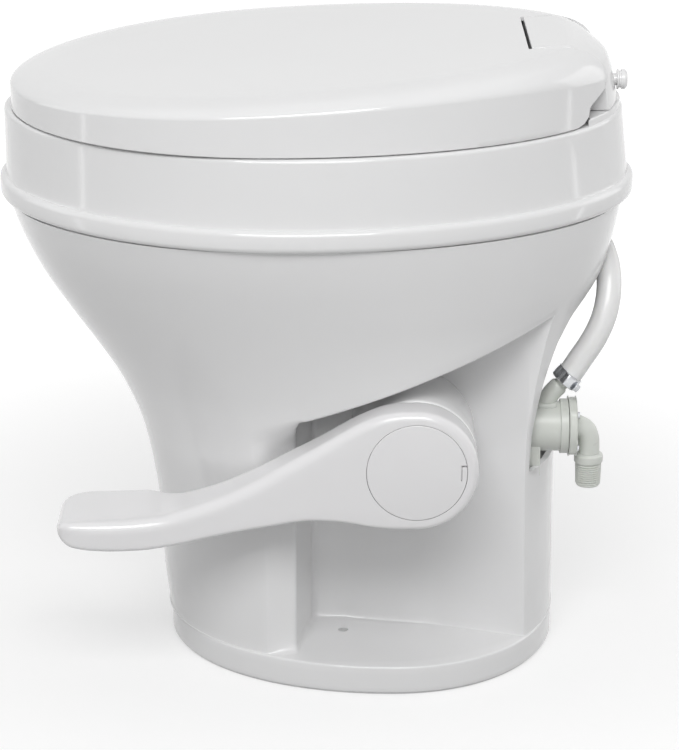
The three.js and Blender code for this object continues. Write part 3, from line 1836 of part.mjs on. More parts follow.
// Every piece, with its colour and its place in the moving groups
const pieces = [
  ['pedestal_shell', pedestalShell, glossPlastic],
  ['rim_band', rimBand, glossPlastic],
  ['bowl_liner', bowlLiner, glossPlastic],
  ['ball_housing', ballHousing, innerPlastic],
  ['outlet_tube', outletTube, innerPlastic],
  ['ball_seal', ballSeal, seal],
  ['floor_seal', floorSeal, seal],
  ['flush_ball', flushBall, glossPlastic],
  ['ball_drive_shaft', () => ballShaft(stubInner, gearPlane + gearThick), metal],
  ['ball_stub_shaft', () => ballShaft(-gearPlane - gearThick / 2, -stubInner), metal],
  ['pinion', pinion, innerPlastic],
  ['sector_gear', sectorGear, innerPlastic],
  ['valve_cam', valveCam, innerPlastic],
  ['pedal_shaft', pedalShaft, metal],
  ['outer_bush', outerBush, innerPlastic],
  ['inner_bush', innerBush, innerPlastic],
  ['bearing_plate', bearingPlate, innerPlastic],
  ['return_spring', returnSpring, metal],
  ['foot_pedal', footPedal, glossPlastic],
  ['hub_cap', hubCap, glossPlastic],
  ['pedal_screw', pedalScrew, metal],
  ['water_valve_body', valveBody, valvePlastic],
  ['valve_end_cap', valveEndCap, valvePlastic],
  ['inlet_elbow', inletElbow, valvePlastic],
  ['valve_bracket', valveBracket, glossPlastic],
  ['valve_plunger', valvePlunger, innerPlastic],
  ['flush_hose', flushHose, valvePlastic],
  ['hose_clamp_lower', () => hoseClamp(lowerClampShare, lowerClampTurn), metal],
  ['hose_clamp_upper', () => hoseClamp(upperClampShare, upperClampTurn), metal],
  ['rim_nozzle', rimNozzle, innerPlastic],
  ['vacuum_breaker_cap', breakerCap, innerPlastic],
  ['hinge_cover', hingeCover, glossPlastic],
  ['hinge_bolt', hingeBolt, glossPlastic],
  ['hinge_nut', hingeNut, innerPlastic],
  ['hinge_pin_left', () => hingePin(1), metal],
  ['hinge_pin_right', () => hingePin(-1), metal],
  ['seat_ring', seatRing, glossPlastic],
  ['lid_shell', lidShell, glossPlastic],
];

capScrewTurns().forEach((turn, i) => {
  pieces.push([`valve_cap_screw_${i + 1}`, () => capScrew(turn), metal]);
});
mirrored(seatPadSpots).forEach((spot, i) => {
  const low = deckHeight + seatingGap;
  const high = seatUnderside - seatingGap;
  pieces.push([`seat_bumper_${i + 1}`, () => pad(spot, seatPadRadius, low, high), bumper]);
});
mirrored(lidPadSpots).forEach((spot, i) => {
  const low = seatTop + seatingGap;
  const high = lidTopAt(spot[1]) - lidWall + lidPadSink;
  pieces.push([`lid_bumper_${i + 1}`, () => pad(spot, lidPadRadius, low, high), bumper]);
});

const part = new THREE.Group();
part.name = 'rv_toilet';
for (const [name, build, look] of pieces) {
  const mesh = new THREE.Mesh(build(), look());
  mesh.name = name;
  part.add(mesh);
}

// Stands the part centred over the origin.
const bounds = new THREE.Box3().setFromObject(part);
const middle = bounds.getCenter(new THREE.Vector3());
part.position.set(-middle.x, -middle.y, -bounds.min.z);
part.updateMatrixWorld(true);

export default part;
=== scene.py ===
"""Looks of a foot-flushed motor-home toilet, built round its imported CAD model.

Sizes are in millimetres in the maker's own frame: the outlet stands on the
origin, +X is the pedal's side, +Y the back and +Z up. A mesh is moved into the
part's frame, and into metres, when it is made.
"""
from __future__ import annotations

import logging
import math
from dataclasses import dataclass
from enum import Enum

import bpy
import bmesh
import numpy as np
from mathutils import Matrix, Vector

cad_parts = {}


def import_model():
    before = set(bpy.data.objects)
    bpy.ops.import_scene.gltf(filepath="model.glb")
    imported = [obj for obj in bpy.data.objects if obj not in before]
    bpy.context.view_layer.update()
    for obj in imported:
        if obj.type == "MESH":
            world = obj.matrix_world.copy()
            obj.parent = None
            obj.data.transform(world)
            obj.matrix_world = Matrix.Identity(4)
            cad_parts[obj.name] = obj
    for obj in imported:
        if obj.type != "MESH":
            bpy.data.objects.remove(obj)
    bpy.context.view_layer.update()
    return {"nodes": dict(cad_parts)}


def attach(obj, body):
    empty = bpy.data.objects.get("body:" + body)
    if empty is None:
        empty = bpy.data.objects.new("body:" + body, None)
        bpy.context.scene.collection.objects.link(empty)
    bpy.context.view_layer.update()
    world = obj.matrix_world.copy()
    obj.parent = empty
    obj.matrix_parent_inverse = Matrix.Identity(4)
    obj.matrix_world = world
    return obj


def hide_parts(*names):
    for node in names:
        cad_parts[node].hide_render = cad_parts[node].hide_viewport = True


log = logging.getLogger("rv_toilet")

Array = np.ndarray
Row = tuple[float, ...]

SHIFT = np.array([0.0, 20.6, 0.0])  # from the maker's frame to the part's, in mm
MM = 1000.0  # millimetres in a metre
FIRST = np.array([1.0, 0.0, 0.0])  # a direction that no middle line takes
TAU = 2.0 * math.pi
QUARTER = math.pi / 2
SHARP_FROM = 38.0  # degrees from which an edge stays sharp
WELD = 0.000015  # points nearer than this, in metres, are one
SPECK = 0.000005  # edges shorter than this, in metres, go
LEAST_SIDE = 1e-12  # keeps a division safe where two points coincide


class Axis(Enum):
    """An axis of the maker's frame."""

    X = "X"
    Y = "Y"
    Z = "Z"


# Where the two axes of an outline and its level along the third go
ORDER = {Axis.X: (2, 0, 1), Axis.Y: (0, 2, 1), Axis.Z: (0, 1, 2)}


class Body(Enum):
    """The CAD bodies that the new pieces ride on."""

    BASE = "base"
    PEDAL = "pedal"
    SEAT = "seat"
    LID = "lid"


class Slot(Enum):
    """The record's material slots."""

    WHITE = "gloss_white"
    MILKY = "clear_grey"
    INNER = "inner_plastic"
    SEAL = "seal_rubber"
    BUMPER = "bumper_rubber"
    STEEL = "steel"


# Finishes


def put(node: bpy.types.Node, values: dict[str, float | Row]) -> bpy.types.Node:
    """Sets some of a shader node's inputs.

    Args:
        node: The node.
        values: Value of each input by its name.

    Returns:
        The same node.
    """
    for name, value in values.items():
        node.inputs[name].default_value = value
    return node


@dataclass(frozen=True)
class Finish:
    """A finish with its own procedural material.

    Attributes:
        name: Name of the material.
        slot: Material slot of the record that it stands for.
        colour: Base colour, linear red, green and blue.
        roughness: Middle of the roughness.
        wander: How far the roughness wanders either way.
        patch: Size of the patches in which it wanders, per metre.
        grain: Size of the surface grain, per metre.
        relief: Height of the grain in metres.
        bump: Strength of the grain.
        drift: Size of the patches in which the colour drifts, per metre.
        dark: Share of the colour that its darker patches keep.
        low: Noise from which a patch grows.
        high: Noise at which it is full.
    """

    name: str
    slot: Slot
    colour: Row
    roughness: float
    wander: float = 0.04
    patch: float = 18.0
    grain: float = 900.0
    relief: float = 0.00001
    bump: float = 0.5
    drift: float = 6.0
    dark: float = 0.975
    low: float = 0.3
    high: float = 0.7

    def material(self) -> bpy.types.Material:
        """Makes the material, or finds it if it is already there.

        Returns:
            The finished material.
        """
        found = bpy.data.materials.get(self.name)
        if found:
            return found
        made = bpy.data.materials.new(self.name)
        made.use_nodes = True
        tree = made.node_tree
        shader = put(tree.nodes["Principled BSDF"], {"Base Color": (*self.colour, 1.0)})
        where = tree.nodes.new("ShaderNodeTexCoord").outputs["Object"]
        self.tint(tree, shader, where)
        self.gloss(tree, shader, where)
        self.surface(tree, shader, where)
        self.extras(shader)
        return made

    def noise(
        self, tree: bpy.types.NodeTree, where: bpy.types.NodeSocket, scale: float, detail: float
    ) -> bpy.types.Node:
        """Adds a noise.

        Args:
            tree: Node tree of the material.
            where: Place on the piece, in its own space.
            scale: Scale of the noise, per metre.
            detail: Octaves of detail.

        Returns:
            The noise node.
        """
        node = put(tree.nodes.new("ShaderNodeTexNoise"), {"Scale": scale, "Detail": detail})
        tree.links.new(where, node.inputs["Vector"])
        return node

    def tint(
        self, tree: bpy.types.NodeTree, shader: bpy.types.Node, where: bpy.types.NodeSocket
    ) -> None:
        """Lets the colour drift by a hair over the piece.

        Args:
            tree: Node tree of the material.
            shader: Principled shader.
            where: Place on the piece.
        """
        drift = self.noise(tree, where, self.drift, 3.0)
        ramp = tree.nodes.new("ShaderNodeValToRGB")
        dark, light = ramp.color_ramp.elements
        dark.position, light.position = self.low, self.high
        dark.color = (*(c * self.dark for c in self.colour), 1.0)
        light.color = (*self.colour, 1.0)
        tree.links.new(drift.outputs["Fac"], ramp.inputs["Fac"])
        tree.links.new(ramp.outputs["Color"], shader.inputs["Base Color"])

    def gloss(
        self, tree: bpy.types.NodeTree, shader: bpy.types.Node, where: bpy.types.NodeSocket
    ) -> None:
        """Lets the roughness wander in soft patches, as handling leaves it.

        Args:
            tree: Node tree of the material.
            shader: Principled shader.
            where: Place on the piece.
        """
        patches = self.noise(tree, where, self.patch, 4.0)
        spread = put(tree.nodes.new("ShaderNodeMapRange"), {
            "From Min": self.low, "From Max": self.high,
            "To Min": self.roughness - self.wander, "To Max": self.roughness + self.wander,
        })
        tree.links.new(patches.outputs["Fac"], spread.inputs["Value"])
        tree.links.new(spread.outputs["Result"], shader.inputs["Roughness"])

    def surface(
        self, tree: bpy.types.NodeTree, shader: bpy.types.Node, where: bpy.types.NodeSocket
    ) -> None:
        """Gives the surface its fine grain.

        Args:
            tree: Node tree of the material.
            shader: Principled shader.
            where: Place on the piece.
        """
        grain = self.noise(tree, self.drawn(tree, where), self.grain, 2.0)
        bump = put(tree.nodes.new("ShaderNodeBump"), {
            "Strength": self.bump, "Distance": self.relief,
        })
        tree.links.new(grain.outputs["Fac"], bump.inputs["Height"])
        tree.links.new(bump.outputs["Normal"], shader.inputs["Normal"])

    def drawn(
        self, tree: bpy.types.NodeTree, where: bpy.types.NodeSocket
    ) -> bpy.types.NodeSocket:
        """The place as the grain sees it; a plain finish leaves it as it is."""
        return where

    def extras(self, shader: bpy.types.Node) -> None:
        """Sets what only some finishes have; a plain one has nothing."""


@dataclass(frozen=True)
class GlossyMoulding(Finish):
    """White plastic from a polished mould, with a faint ripple and deep gloss."""

    def extras(self, shader: bpy.types.Node) -> None:
        """Gives the moulding its clear top gloss and a little depth.

        Args:
            shader: Principled shader.
        """
        put(shader, {
            "IOR": 1.5, "Coat Weight": 0.25, "Coat Roughness": 0.08, "Subsurface Weight": 0.04,
            "Subsurface Radius": (0.004, 0.004, 0.0038), "Subsurface Scale": 1.0,
        })


@dataclass(frozen=True)
class MilkyPlastic(Finish):
    """Natural plastic that lets some light through, as on valves and hoses.

    Attributes:
        depth: Share of the light that scatters inside.
        clear: Share of the light that passes through.
    """

    depth: float = 0.35
    clear: float = 0.0

    def extras(self, shader: bpy.types.Node) -> None:
        """Lets light into the plastic.

        Args:
            shader: Principled shader.
        """
        put(shader, {
            "IOR": 1.45, "Subsurface Weight": self.depth, "Transmission Weight": self.clear,
            "Subsurface Radius": (0.003, 0.003, 0.0028), "Subsurface Scale": 1.0,
        })


@dataclass(frozen=True)
class BrightSteel(Finish):
    """Rolled stainless steel, its grain drawn out along one way.

    Attributes:
        stretch: How many times finer the grain is across that way.
    """

    stretch: float = 14.0

    def drawn(
        self, tree: bpy.types.NodeTree, where: bpy.types.NodeSocket
    ) -> bpy.types.NodeSocket:
        """Draws the place out, so that the grain runs in fine parallel lines.

        Args:
            tree: Node tree of the material.
            where: Place on the piece.

        Returns:
            The place as the grain sees it.
        """
        draw = put(tree.nodes.new("ShaderNodeMapping"), {
            "Scale": (1.0, self.stretch, self.stretch)
        })
        tree.links.new(where, draw.inputs["Vector"])
        return draw.outputs["Vector"]

    def extras(self, shader: bpy.types.Node) -> None:
        """Makes it a metal."""
        put(shader, {"Metallic": 1.0})


GLOSSY_WHITE = GlossyMoulding(
    "glossy_white_moulding", Slot.WHITE, (0.80, 0.80, 0.803),
    roughness=0.13, wander=0.012, patch=9.0, grain=420.0, relief=0.000006,
)
BOWL_WHITE = GlossyMoulding(
    "bowl_white_glaze", Slot.WHITE, (0.82, 0.82, 0.82),
    roughness=0.10, wander=0.01, patch=12.0, grain=300.0, relief=0.000006,
)
PEDAL_WHITE = GlossyMoulding(
    "pedal_white_moulding", Slot.WHITE, (0.80, 0.795, 0.803),
    roughness=0.20, wander=0.015, patch=12.0, grain=700.0, relief=0.000008,
)
VALVE_MILKY = MilkyPlastic(
    "valve_milky_plastic", Slot.MILKY, (0.68, 0.70, 0.66),
    roughness=0.30, wander=0.03, patch=30.0,
)
HOSE_MILKY = MilkyPlastic(
    "hose_milky_vinyl", Slot.MILKY, (0.88, 0.88, 0.875),
    roughness=0.14, wander=0.02, patch=16.0, grain=300.0, depth=0.4, clear=0.06,
)
INNER_NYLON = MilkyPlastic(
    "inner_nylon", Slot.INNER, (0.62, 0.61, 0.56),
    roughness=0.42, wander=0.06, patch=50.0, relief=0.00003, depth=0.15,
)
SEAL_RUBBER = Finish(
    "seal_black_rubber", Slot.SEAL, (0.018, 0.018, 0.019),
    roughness=0.62, wander=0.08, patch=70.0, grain=1400.0, relief=0.00006,
)
BUMPER_RUBBER = Finish(
    "bumper_grey_rubber", Slot.BUMPER, (0.15, 0.15, 0.155),
    roughness=0.6, wander=0.08, patch=90.0, grain=1500.0, relief=0.00006,
)
STEEL = BrightSteel(
    "bright_steel", Slot.STEEL, (0.58, 0.59, 0.61),
    roughness=0.26, wander=0.06, patch=120.0, grain=260.0, relief=0.00003, bump=0.4,
)


# Mesh making


def to_row(points: Array) -> Array:
    """Moves points from the maker's frame, in mm, into the part's, in metres."""
    return (points + SHIFT) / MM


def lattice(rows: int, cols: int, close_rows: bool, close_cols: bool) -> Array:
    """Corner numbers of the quads of a grid.

    Rows run up and columns run counter-clockwise as seen from above, so the
    faces look outwards.

    Args:
        rows: Number of rows of points.
        cols: Number of points in a row.
        close_rows: Whether the last row joins the first.
        close_cols: Whether each row closes on itself.

    Returns:
        One row of four corner numbers for each quad.
    """
    r = np.arange(rows if close_rows else rows - 1)
    c = np.arange(cols if close_cols else cols - 1)
    i, j = np.meshgrid(r, c, indexing="ij")
    up, on = (i + 1) % rows, (j + 1) % cols
    return np.stack([i * cols + j, i * cols + on, up * cols + on, up * cols + j], -1).reshape(-1, 4)


@dataclass
class Skin:
    """A surface as a grid of points, with what is needed to make it a mesh.

    Attributes:
        points: Grid of points, rows by columns by three, in mm.
        close_rows: Whether the last row joins the first.
        close_cols: Whether each row closes on itself.
        caps: Whether the first and the last row are filled in.
    """

    points: Array
    close_rows: bool = False
    close_cols: bool = True
    caps: bool = False

    def faces(self) -> list[list[int]]:
        """Works out its faces: the grid's quads, then the caps.

        Returns:
            The corner numbers of each face.
        """
        rows, cols = self.points.shape[:2]
        found = lattice(rows, cols, self.close_rows, self.close_cols).tolist()
        if self.caps:
            found.append(list(range(cols))[::-1])
            found.append(list(range((rows - 1) * cols, rows * cols)))
        return found


def mesh_of(name: str, skins: list[Skin]) -> bpy.types.Object:
    """Makes one object of several skins, its seams and poles closed.

    Args:
        name: Name of the object.
        skins: The surfaces that make it up.

    Returns:
        The object, linked to the scene.
    """
    points, faces, start = [], [], 0
    for skin in skins:
        flat = skin.points.reshape(-1, 3)
        points.append(flat)
        faces.extend([start + v for v in face] for face in skin.faces())
        start += len(flat)
    mesh = bpy.data.meshes.new(name)
    mesh.from_pydata(to_row(np.concatenate(points)).tolist(), [], faces)
    work = bmesh.new()
    work.from_mesh(mesh)
    bmesh.ops.remove_doubles(work, verts=work.verts, dist=WELD)
    bmesh.ops.dissolve_degenerate(work, edges=work.edges, dist=SPECK)
    bmesh.ops.recalc_face_normals(work, faces=work.faces)
    work.to_mesh(mesh)
    work.free()
    made = bpy.data.objects.new(name, mesh)
    bpy.context.scene.collection.objects.link(made)
    shade(made)
    return made


def shade(piece: bpy.types.Object) -> None:
    """Shades a piece smooth, but for edges from an angle on.

    Args:
        piece: The object.
    """
    mesh = piece.data
    mesh.polygons.foreach_set("use_smooth", np.ones(len(mesh.polygons), bool))
    mesh.set_sharp_from_angle(angle=math.radians(SHARP_FROM))
    mesh.update()


def settle(piece: bpy.types.Object) -> bpy.types.Object:
    """Applies a piece's modifiers to its mesh.

    Args:
        piece: The object.

    Returns:
        The same object with its mesh final.
    """
    graph = bpy.context.evaluated_depsgraph_get()
    final = bpy.data.meshes.new_from_object(piece.evaluated_get(graph))
    old = piece.data
    piece.modifiers.clear()
    piece.data = final
    bpy.data.meshes.remove(old)
    final.name = piece.name
    shade(piece)
    return piece


def carve(piece: bpy.types.Object, tools: list[bpy.types.Object]) -> bpy.types.Object:
    """Cuts tools from a piece, and removes the tools.

    Args:
        piece: The object that is changed.
        tools: The objects that change it.

    Returns:
        The changed object.
    """
    for tool in tools:
        change = piece.modifiers.new(tool.name, "BOOLEAN")
        change.operation = "DIFFERENCE"
        change.solver = "EXACT"
        change.object = tool
    settle(piece)
    for tool in tools:
        bpy.data.objects.remove(tool)
    return piece


def thicken(piece: bpy.types.Object, wall: float) -> bpy.types.Object:
    """Gives an open surface a wall on its inner side.

    Args:
        piece: The object.
        wall: Thickness in mm.

    Returns:
        The same object.
    """
    change = piece.modifiers.new("wall", "SOLIDIFY")
    change.thickness = wall / MM
    change.offset = -1.0
    change.use_rim = True
    return settle(piece)


def dress(
    piece: bpy.types.Object, finish: Finish, body: Body, nodes: tuple[str, ...] = ()
) -> bpy.types.Object:
    """Gives a piece its finish, its body and the CAD nodes it stands for.

    Args:
        piece: The object.
        finish: Its finish.
        body: The CAD body it rides on.
        nodes: CAD nodes that it replaces.

    Returns:
        The same object.
    """
    piece.data.materials.clear()
    piece.data.materials.append(finish.material())
    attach(piece, body.value)
    if nodes:
        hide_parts(*nodes)
    log.info("%s: %d faces, rides on %s", piece.name, len(piece.data.polygons), body.value)
    return piece


# Curves


def smooth_through(at: Array, xs: Array, ys: Array) -> Array:
    """Monotone cubic through a table: its slopes are the harmonic means of the
    two neighbouring chords, and zero where the chords turn.

    Args:
        at: Where to read the curve.
        xs: The table's stations, rising.
        ys: The table's values.

    Returns:
        The values at the stations asked for.
    """
    h = np.diff(xs)
    d = np.diff(ys) / h
    same = d[:-1] * d[1:] > 0
    w1, w2 = 2 * h[1:] + h[:-1], h[1:] + 2 * h[:-1]
    inner = np.zeros_like(d[:-1])
    inner[same] = (w1 + w2)[same] / (w1[same] / d[:-1][same] + w2[same] / d[1:][same])
    m = np.concatenate([d[:1], inner, d[-1:]])
    k = np.clip(np.searchsorted(xs, at) - 1, 0, len(h) - 1)
    s = np.clip((at - xs[k]) / h[k], 0.0, 1.0)
    return (
        (1 + 2 * s) * (1 - s) ** 2 * ys[k]
        + s * (1 - s) ** 2 * h[k] * m[k]
        + s * s * (3 - 2 * s) * ys[k + 1]
        + s * s * (s - 1) * h[k] * m[k + 1]
    )


def eased(share: Array) -> Array:
    """A share held from 0 to 1 and eased: three squares less two cubes of it."""
    held = np.clip(share, 0.0, 1.0)
    return held * held * (3.0 - 2.0 * held)


def soft_least(a: Array, b: Array, width: float = 1.2) -> Array:
    """The lesser of two, rounded: half of sum less root of difference and width squared."""
    return (a + b - np.sqrt((a - b) ** 2 + width * width)) / 2


def quarter(steps: int) -> Array:
    """Angles over a quarter turn, one a row, the first one left out."""
    return np.linspace(0, QUARTER, steps + 1)[1:, None]


def shares(steps: int) -> Array:
    """Even shares from nought to one, one a row, the first one left out."""
    return np.linspace(0, 1, steps + 1)[1:, None]


def rounded_path(corners: Array, radii: Array, steps: int = 8, closed: bool = True) -> Array:
    """A path through corners, each replaced by a quadratic arc whose tangent
    points lie on the two sides at the radius times the half angle's tangent.

    Args:
        corners: Corner points, one a row.
        radii: Rounding radius at each corner.
        steps: Points on each arc, less one.
        closed: Whether the last corner leads back to the first.

    Returns:
        The points of the path.
    """
    straight, share_of_side = 0.9999, 0.48
    back, on = np.roll(corners, 1, 0) - corners, np.roll(corners, -1, 0) - corners
    lb, la = np.linalg.norm(back, axis=1), np.linalg.norm(on, axis=1)
    ub, ua = back / lb[:, None], on / la[:, None]
    half = np.arccos(np.clip((ub * ua).sum(1), -straight, straight)) / 2
    reach = np.minimum(radii / np.tan(half), share_of_side * np.minimum(lb, la))
    if not closed:
        reach[[0, -1]] = 0.0
    s = np.linspace(0, 1, steps + 1)[None, :, None]
    start = (corners + ub * reach[:, None])[:, None]
    end = (corners + ua * reach[:, None])[:, None]
    arcs = (1 - s) ** 2 * start + 2 * s * (1 - s) * corners[:, None] + s * s * end
    if closed:
        return arcs.reshape(-1, corners.shape[1])
    return np.concatenate([corners[:1], arcs[1:-1].reshape(-1, corners.shape[1]), corners[-1:]])


def spline(points: Array, count: int) -> Array:
    """A centripetal Catmull-Rom curve through points, at even arc lengths.

    Args:
        points: Points that it passes through.
        count: Number of points asked for.

    Returns:
        The points on the curve.
    """
    ends = np.concatenate([[2 * points[0] - points[1]], points, [2 * points[-1] - points[-2]]])
    knots = np.concatenate([[0], np.cumsum(np.linalg.norm(np.diff(ends, axis=0), axis=1) ** 0.5)])
    finer = 12
    u = np.linspace(knots[1], knots[-2], count * finer)
    k = np.clip(np.searchsorted(knots, u, side="right") - 1, 1, len(ends) - 3)
    t = [knots[k + i - 1][:, None] for i in range(4)]
    p = [ends[k + i - 1] for i in range(4)]
    v = u[:, None]
    a = [((t[i + 1] - v) * p[i] + (v - t[i]) * p[i + 1]) / (t[i + 1] - t[i]) for i in range(3)]
    b = [((t[i + 2] - v) * a[i] + (v - t[i]) * a[i + 1]) / (t[i + 2] - t[i]) for i in range(2)]
    fine = ((t[2] - v) * b[0] + (v - t[1]) * b[1]) / (t[2] - t[1])
    gone = np.concatenate([[0], np.cumsum(np.linalg.norm(np.diff(fine, axis=0), axis=1))])
    even = np.linspace(0, gone[-1], count)
    return np.stack([np.interp(even, gone, fine[:, i]) for i in range(3)], 1)


def even_along(path: Array, values: Array, count: int, weight: float) -> Array:
    """Values along a closed path, read anew at stations that are even along
    its length plus a weight for each radian that it bends.

    Args:
        path: Finely cut points in a plane, the last at the first.
        values: Columns of values at those points.
        count: Number of stations asked for.
        weight: Length that a radian of bend counts as.

    Returns:
        The values at the stations, without the last.
    """
    step = np.diff(path, axis=0)
    heading = np.unwrap(np.arctan2(step[:, 1], step[:, 0]))
    bend = np.abs(np.diff(heading, append=heading[-1:]))
    gone = np.concatenate([[0], np.cumsum(np.linalg.norm(step, axis=1) + weight * bend)])
    at = np.arange(count) * gone[-1] / count
    return np.stack([np.interp(at, gone, column) for column in values.T], 1)


def outwards(path: Array) -> Array:
    """Unit vectors out of a closed counter-clockwise path, square to the line
    between each point's neighbours.

    Args:
        path: Points in a plane.

    Returns:
        One vector for each point.
    """
    way = np.roll(path, -1, 0) - np.roll(path, 1, 0)
    out = np.stack([way[:, 1], -way[:, 0]], 1)
    return out / (np.linalg.norm(out, axis=1)[:, None] + LEAST_SIDE)


def frames_along(path: Array) -> tuple[Array, Array]:
    """Two unit vectors across a path at each point: a fixed direction less
    what lies along the path, and the cross product of both.

    Args:
        path: Points of the path.

    Returns:
        The two families of vectors.
    """
    way = np.gradient(path, axis=0)
    way /= np.linalg.norm(way, axis=1)[:, None]
    normal = FIRST - way * (way @ FIRST)[:, None]
    normal /= np.linalg.norm(normal, axis=1)[:, None]
    return normal, np.cross(way, normal)


def tube(path: Array, radius: Array | float, sides: int) -> Array:
    """Rings of a tube: at each point of the path, the point plus the radius
    times the cosine and the sine of the angle along the two cross vectors.

    Args:
        path: Points of the middle line.
        radius: Radius, one or one for each point.
        sides: Points in a ring.

    Returns:
        A grid of points, one ring for each point of the path.
    """
    n, b = frames_along(path)
    turn = np.arange(sides) * TAU / sides
    r = np.broadcast_to(np.asarray(radius, float), (len(path),))[:, None, None]
    ring = np.cos(turn)[None, :, None] * n[:, None] + np.sin(turn)[None, :, None] * b[:, None]
    return path[:, None] + r * ring


def piped(path: Array, radius: Array | float, bore: float, sides: int) -> Skin:
    """A pipe: the tube of its outside, then the tube of its bore back.

    Args:
        path: Middle line, one row per point.
        radius: Radius of the outside, one for all or one per point.
        bore: Radius of the bore.
        sides: Points round the pipe.

    Returns:
        The skin.
    """
    both = [tube(path, radius, sides), tube(path, bore, sides)[::-1]]
    return Skin(np.concatenate(both), close_rows=True)


def turned(profile: Array, axis: Axis, centre: Row, sides: int = 96) -> Array:
    """Rings of a lathe shape: each profile point goes round the axis at its
    radius.

    Args:
        profile: Points of radius and distance along the axis.
        axis: X, Y or Z.
        centre: The other two coordinates of the axis, in X, Y, Z order.
        sides: Points in a ring.

    Returns:
        A grid of points, one ring for each profile point.
    """
    turn = np.arange(sides) * TAU / sides
    r, along = profile[:, :1], profile[:, 1:2]
    a, b = r * np.cos(turn), r * np.sin(turn)
    along = np.broadcast_to(along, a.shape)
    if axis is Axis.X:
        return np.stack([along, a + centre[0], b + centre[1]], -1)
    if axis is Axis.Y:
        return np.stack([b + centre[0], along, a + centre[1]], -1)
    return np.stack([a + centre[0], b + centre[1], along], -1)


def lathe_skin(
    corners: list[Row], radii: list[float], axis: Axis, centre: Row, sides: int = 96
) -> Skin:
    """A closed lathe shape from a cornered profile with rounded corners.

    Args:
        corners: Corners of the profile: radius, distance along the axis.
        radii: Rounding at each corner.
        axis: X, Y or Z.
        centre: The other two coordinates of the axis.
        sides: Points in a ring.

    Returns:
        The skin; a profile that starts and ends on the axis is closed there.
    """
    c = np.array(corners, float)
    closed = bool(c[0, 0] > 0)
    path = rounded_path(c, np.array(radii, float), steps=5, closed=closed)
    return Skin(turned(path, axis, centre, sides), close_rows=closed)


def box_tool(low: Row, high: Row) -> bpy.types.Object:
    """A plain box that serves as a cutting tool.

    Args:
        low: Lowest corner in mm.
        high: Highest corner in mm.

    Returns:
        The tool, to be used up by carve.
    """
    x = np.array([low[0], high[0], high[0], low[0]])
    y = np.array([low[1], low[1], high[1], high[1]])
    rings = [np.stack([x, y, np.full(4, z)], 1) for z in (low[2], high[2])]
    return mesh_of("tool", [Skin(np.array(rings), caps=True)])


def rod_tool(
    radius: float, low: float, high: float, axis: Axis, centre: Row, sides: int = 96
) -> bpy.types.Object:
    """A plain round rod that serves as a cutting tool.

    Args:
        radius: Its radius.
        low: Start along its axis.
        high: End along its axis.
        axis: X, Y or Z.
        centre: The other two coordinates of the axis.
        sides: Points in a ring.

    Returns:
        The tool, to be used up by carve.
    """
    corners = [(0, low), (radius, low), (radius, high), (0, high)]
    return mesh_of("tool", [lathe_skin(corners, [0] * 4, axis, centre, sides)])


def laid(rings: Array, levels: Row | Array, across: Axis) -> Array:
    """Flat rings set at their levels along an axis.

    Args:
        rings: Rows of points in the plane of the other two axes.
        levels: Level of each row.
        across: The axis.

    Returns:
        A grid of points.
    """
    heights = np.broadcast_to(np.asarray(levels, float)[:, None, None], (*rings.shape[:2], 1))
    return np.concatenate([rings, heights], 2)[:, :, ORDER[across]]


def sheet_tool(outline: Array, across: Axis, low: float, high: float) -> bpy.types.Object:
    """A flat outline carried along one axis, as a cutting tool.

    Args:
        outline: Points in the plane of the other two axes, in X, Y, Z order.
        across: Axis along which it is carried.
        low: Start along that axis.
        high: End along that axis.

    Returns:
        The tool, to be used up by carve.
    """
    return mesh_of("tool", [Skin(laid(np.stack([outline] * 2), (low, high), across), caps=True)])


def plate(
    outline: Array, across: Axis, low: float, high: float, edge: float, steps: int = 4
) -> Skin:
    """A flat plate with rounded rims: its outline is drawn in by the edge
    radius at both faces and reaches its full size between them, each row's
    inset being the radius less its sine.

    Args:
        outline: Points in the plane of the other two axes, counter-clockwise.
        across: Axis through the plate.
        low: One face along that axis.
        high: The other face.
        edge: Radius of the rims.
        steps: Rows on each rim, less one.

    Returns:
        The skin with both faces filled.
    """
    q = np.linspace(0, QUARTER, steps + 1)
    rise, inset = edge * (1 - np.cos(q)), edge * (1 - np.sin(q))
    levels = np.concatenate([low + rise, high - rise[::-1]])
    insets = np.concatenate([inset, inset[::-1]])
    rings = outline[None] - insets[:, None, None] * outwards(outline)[None]
    return Skin(laid(rings, levels, across), caps=True)


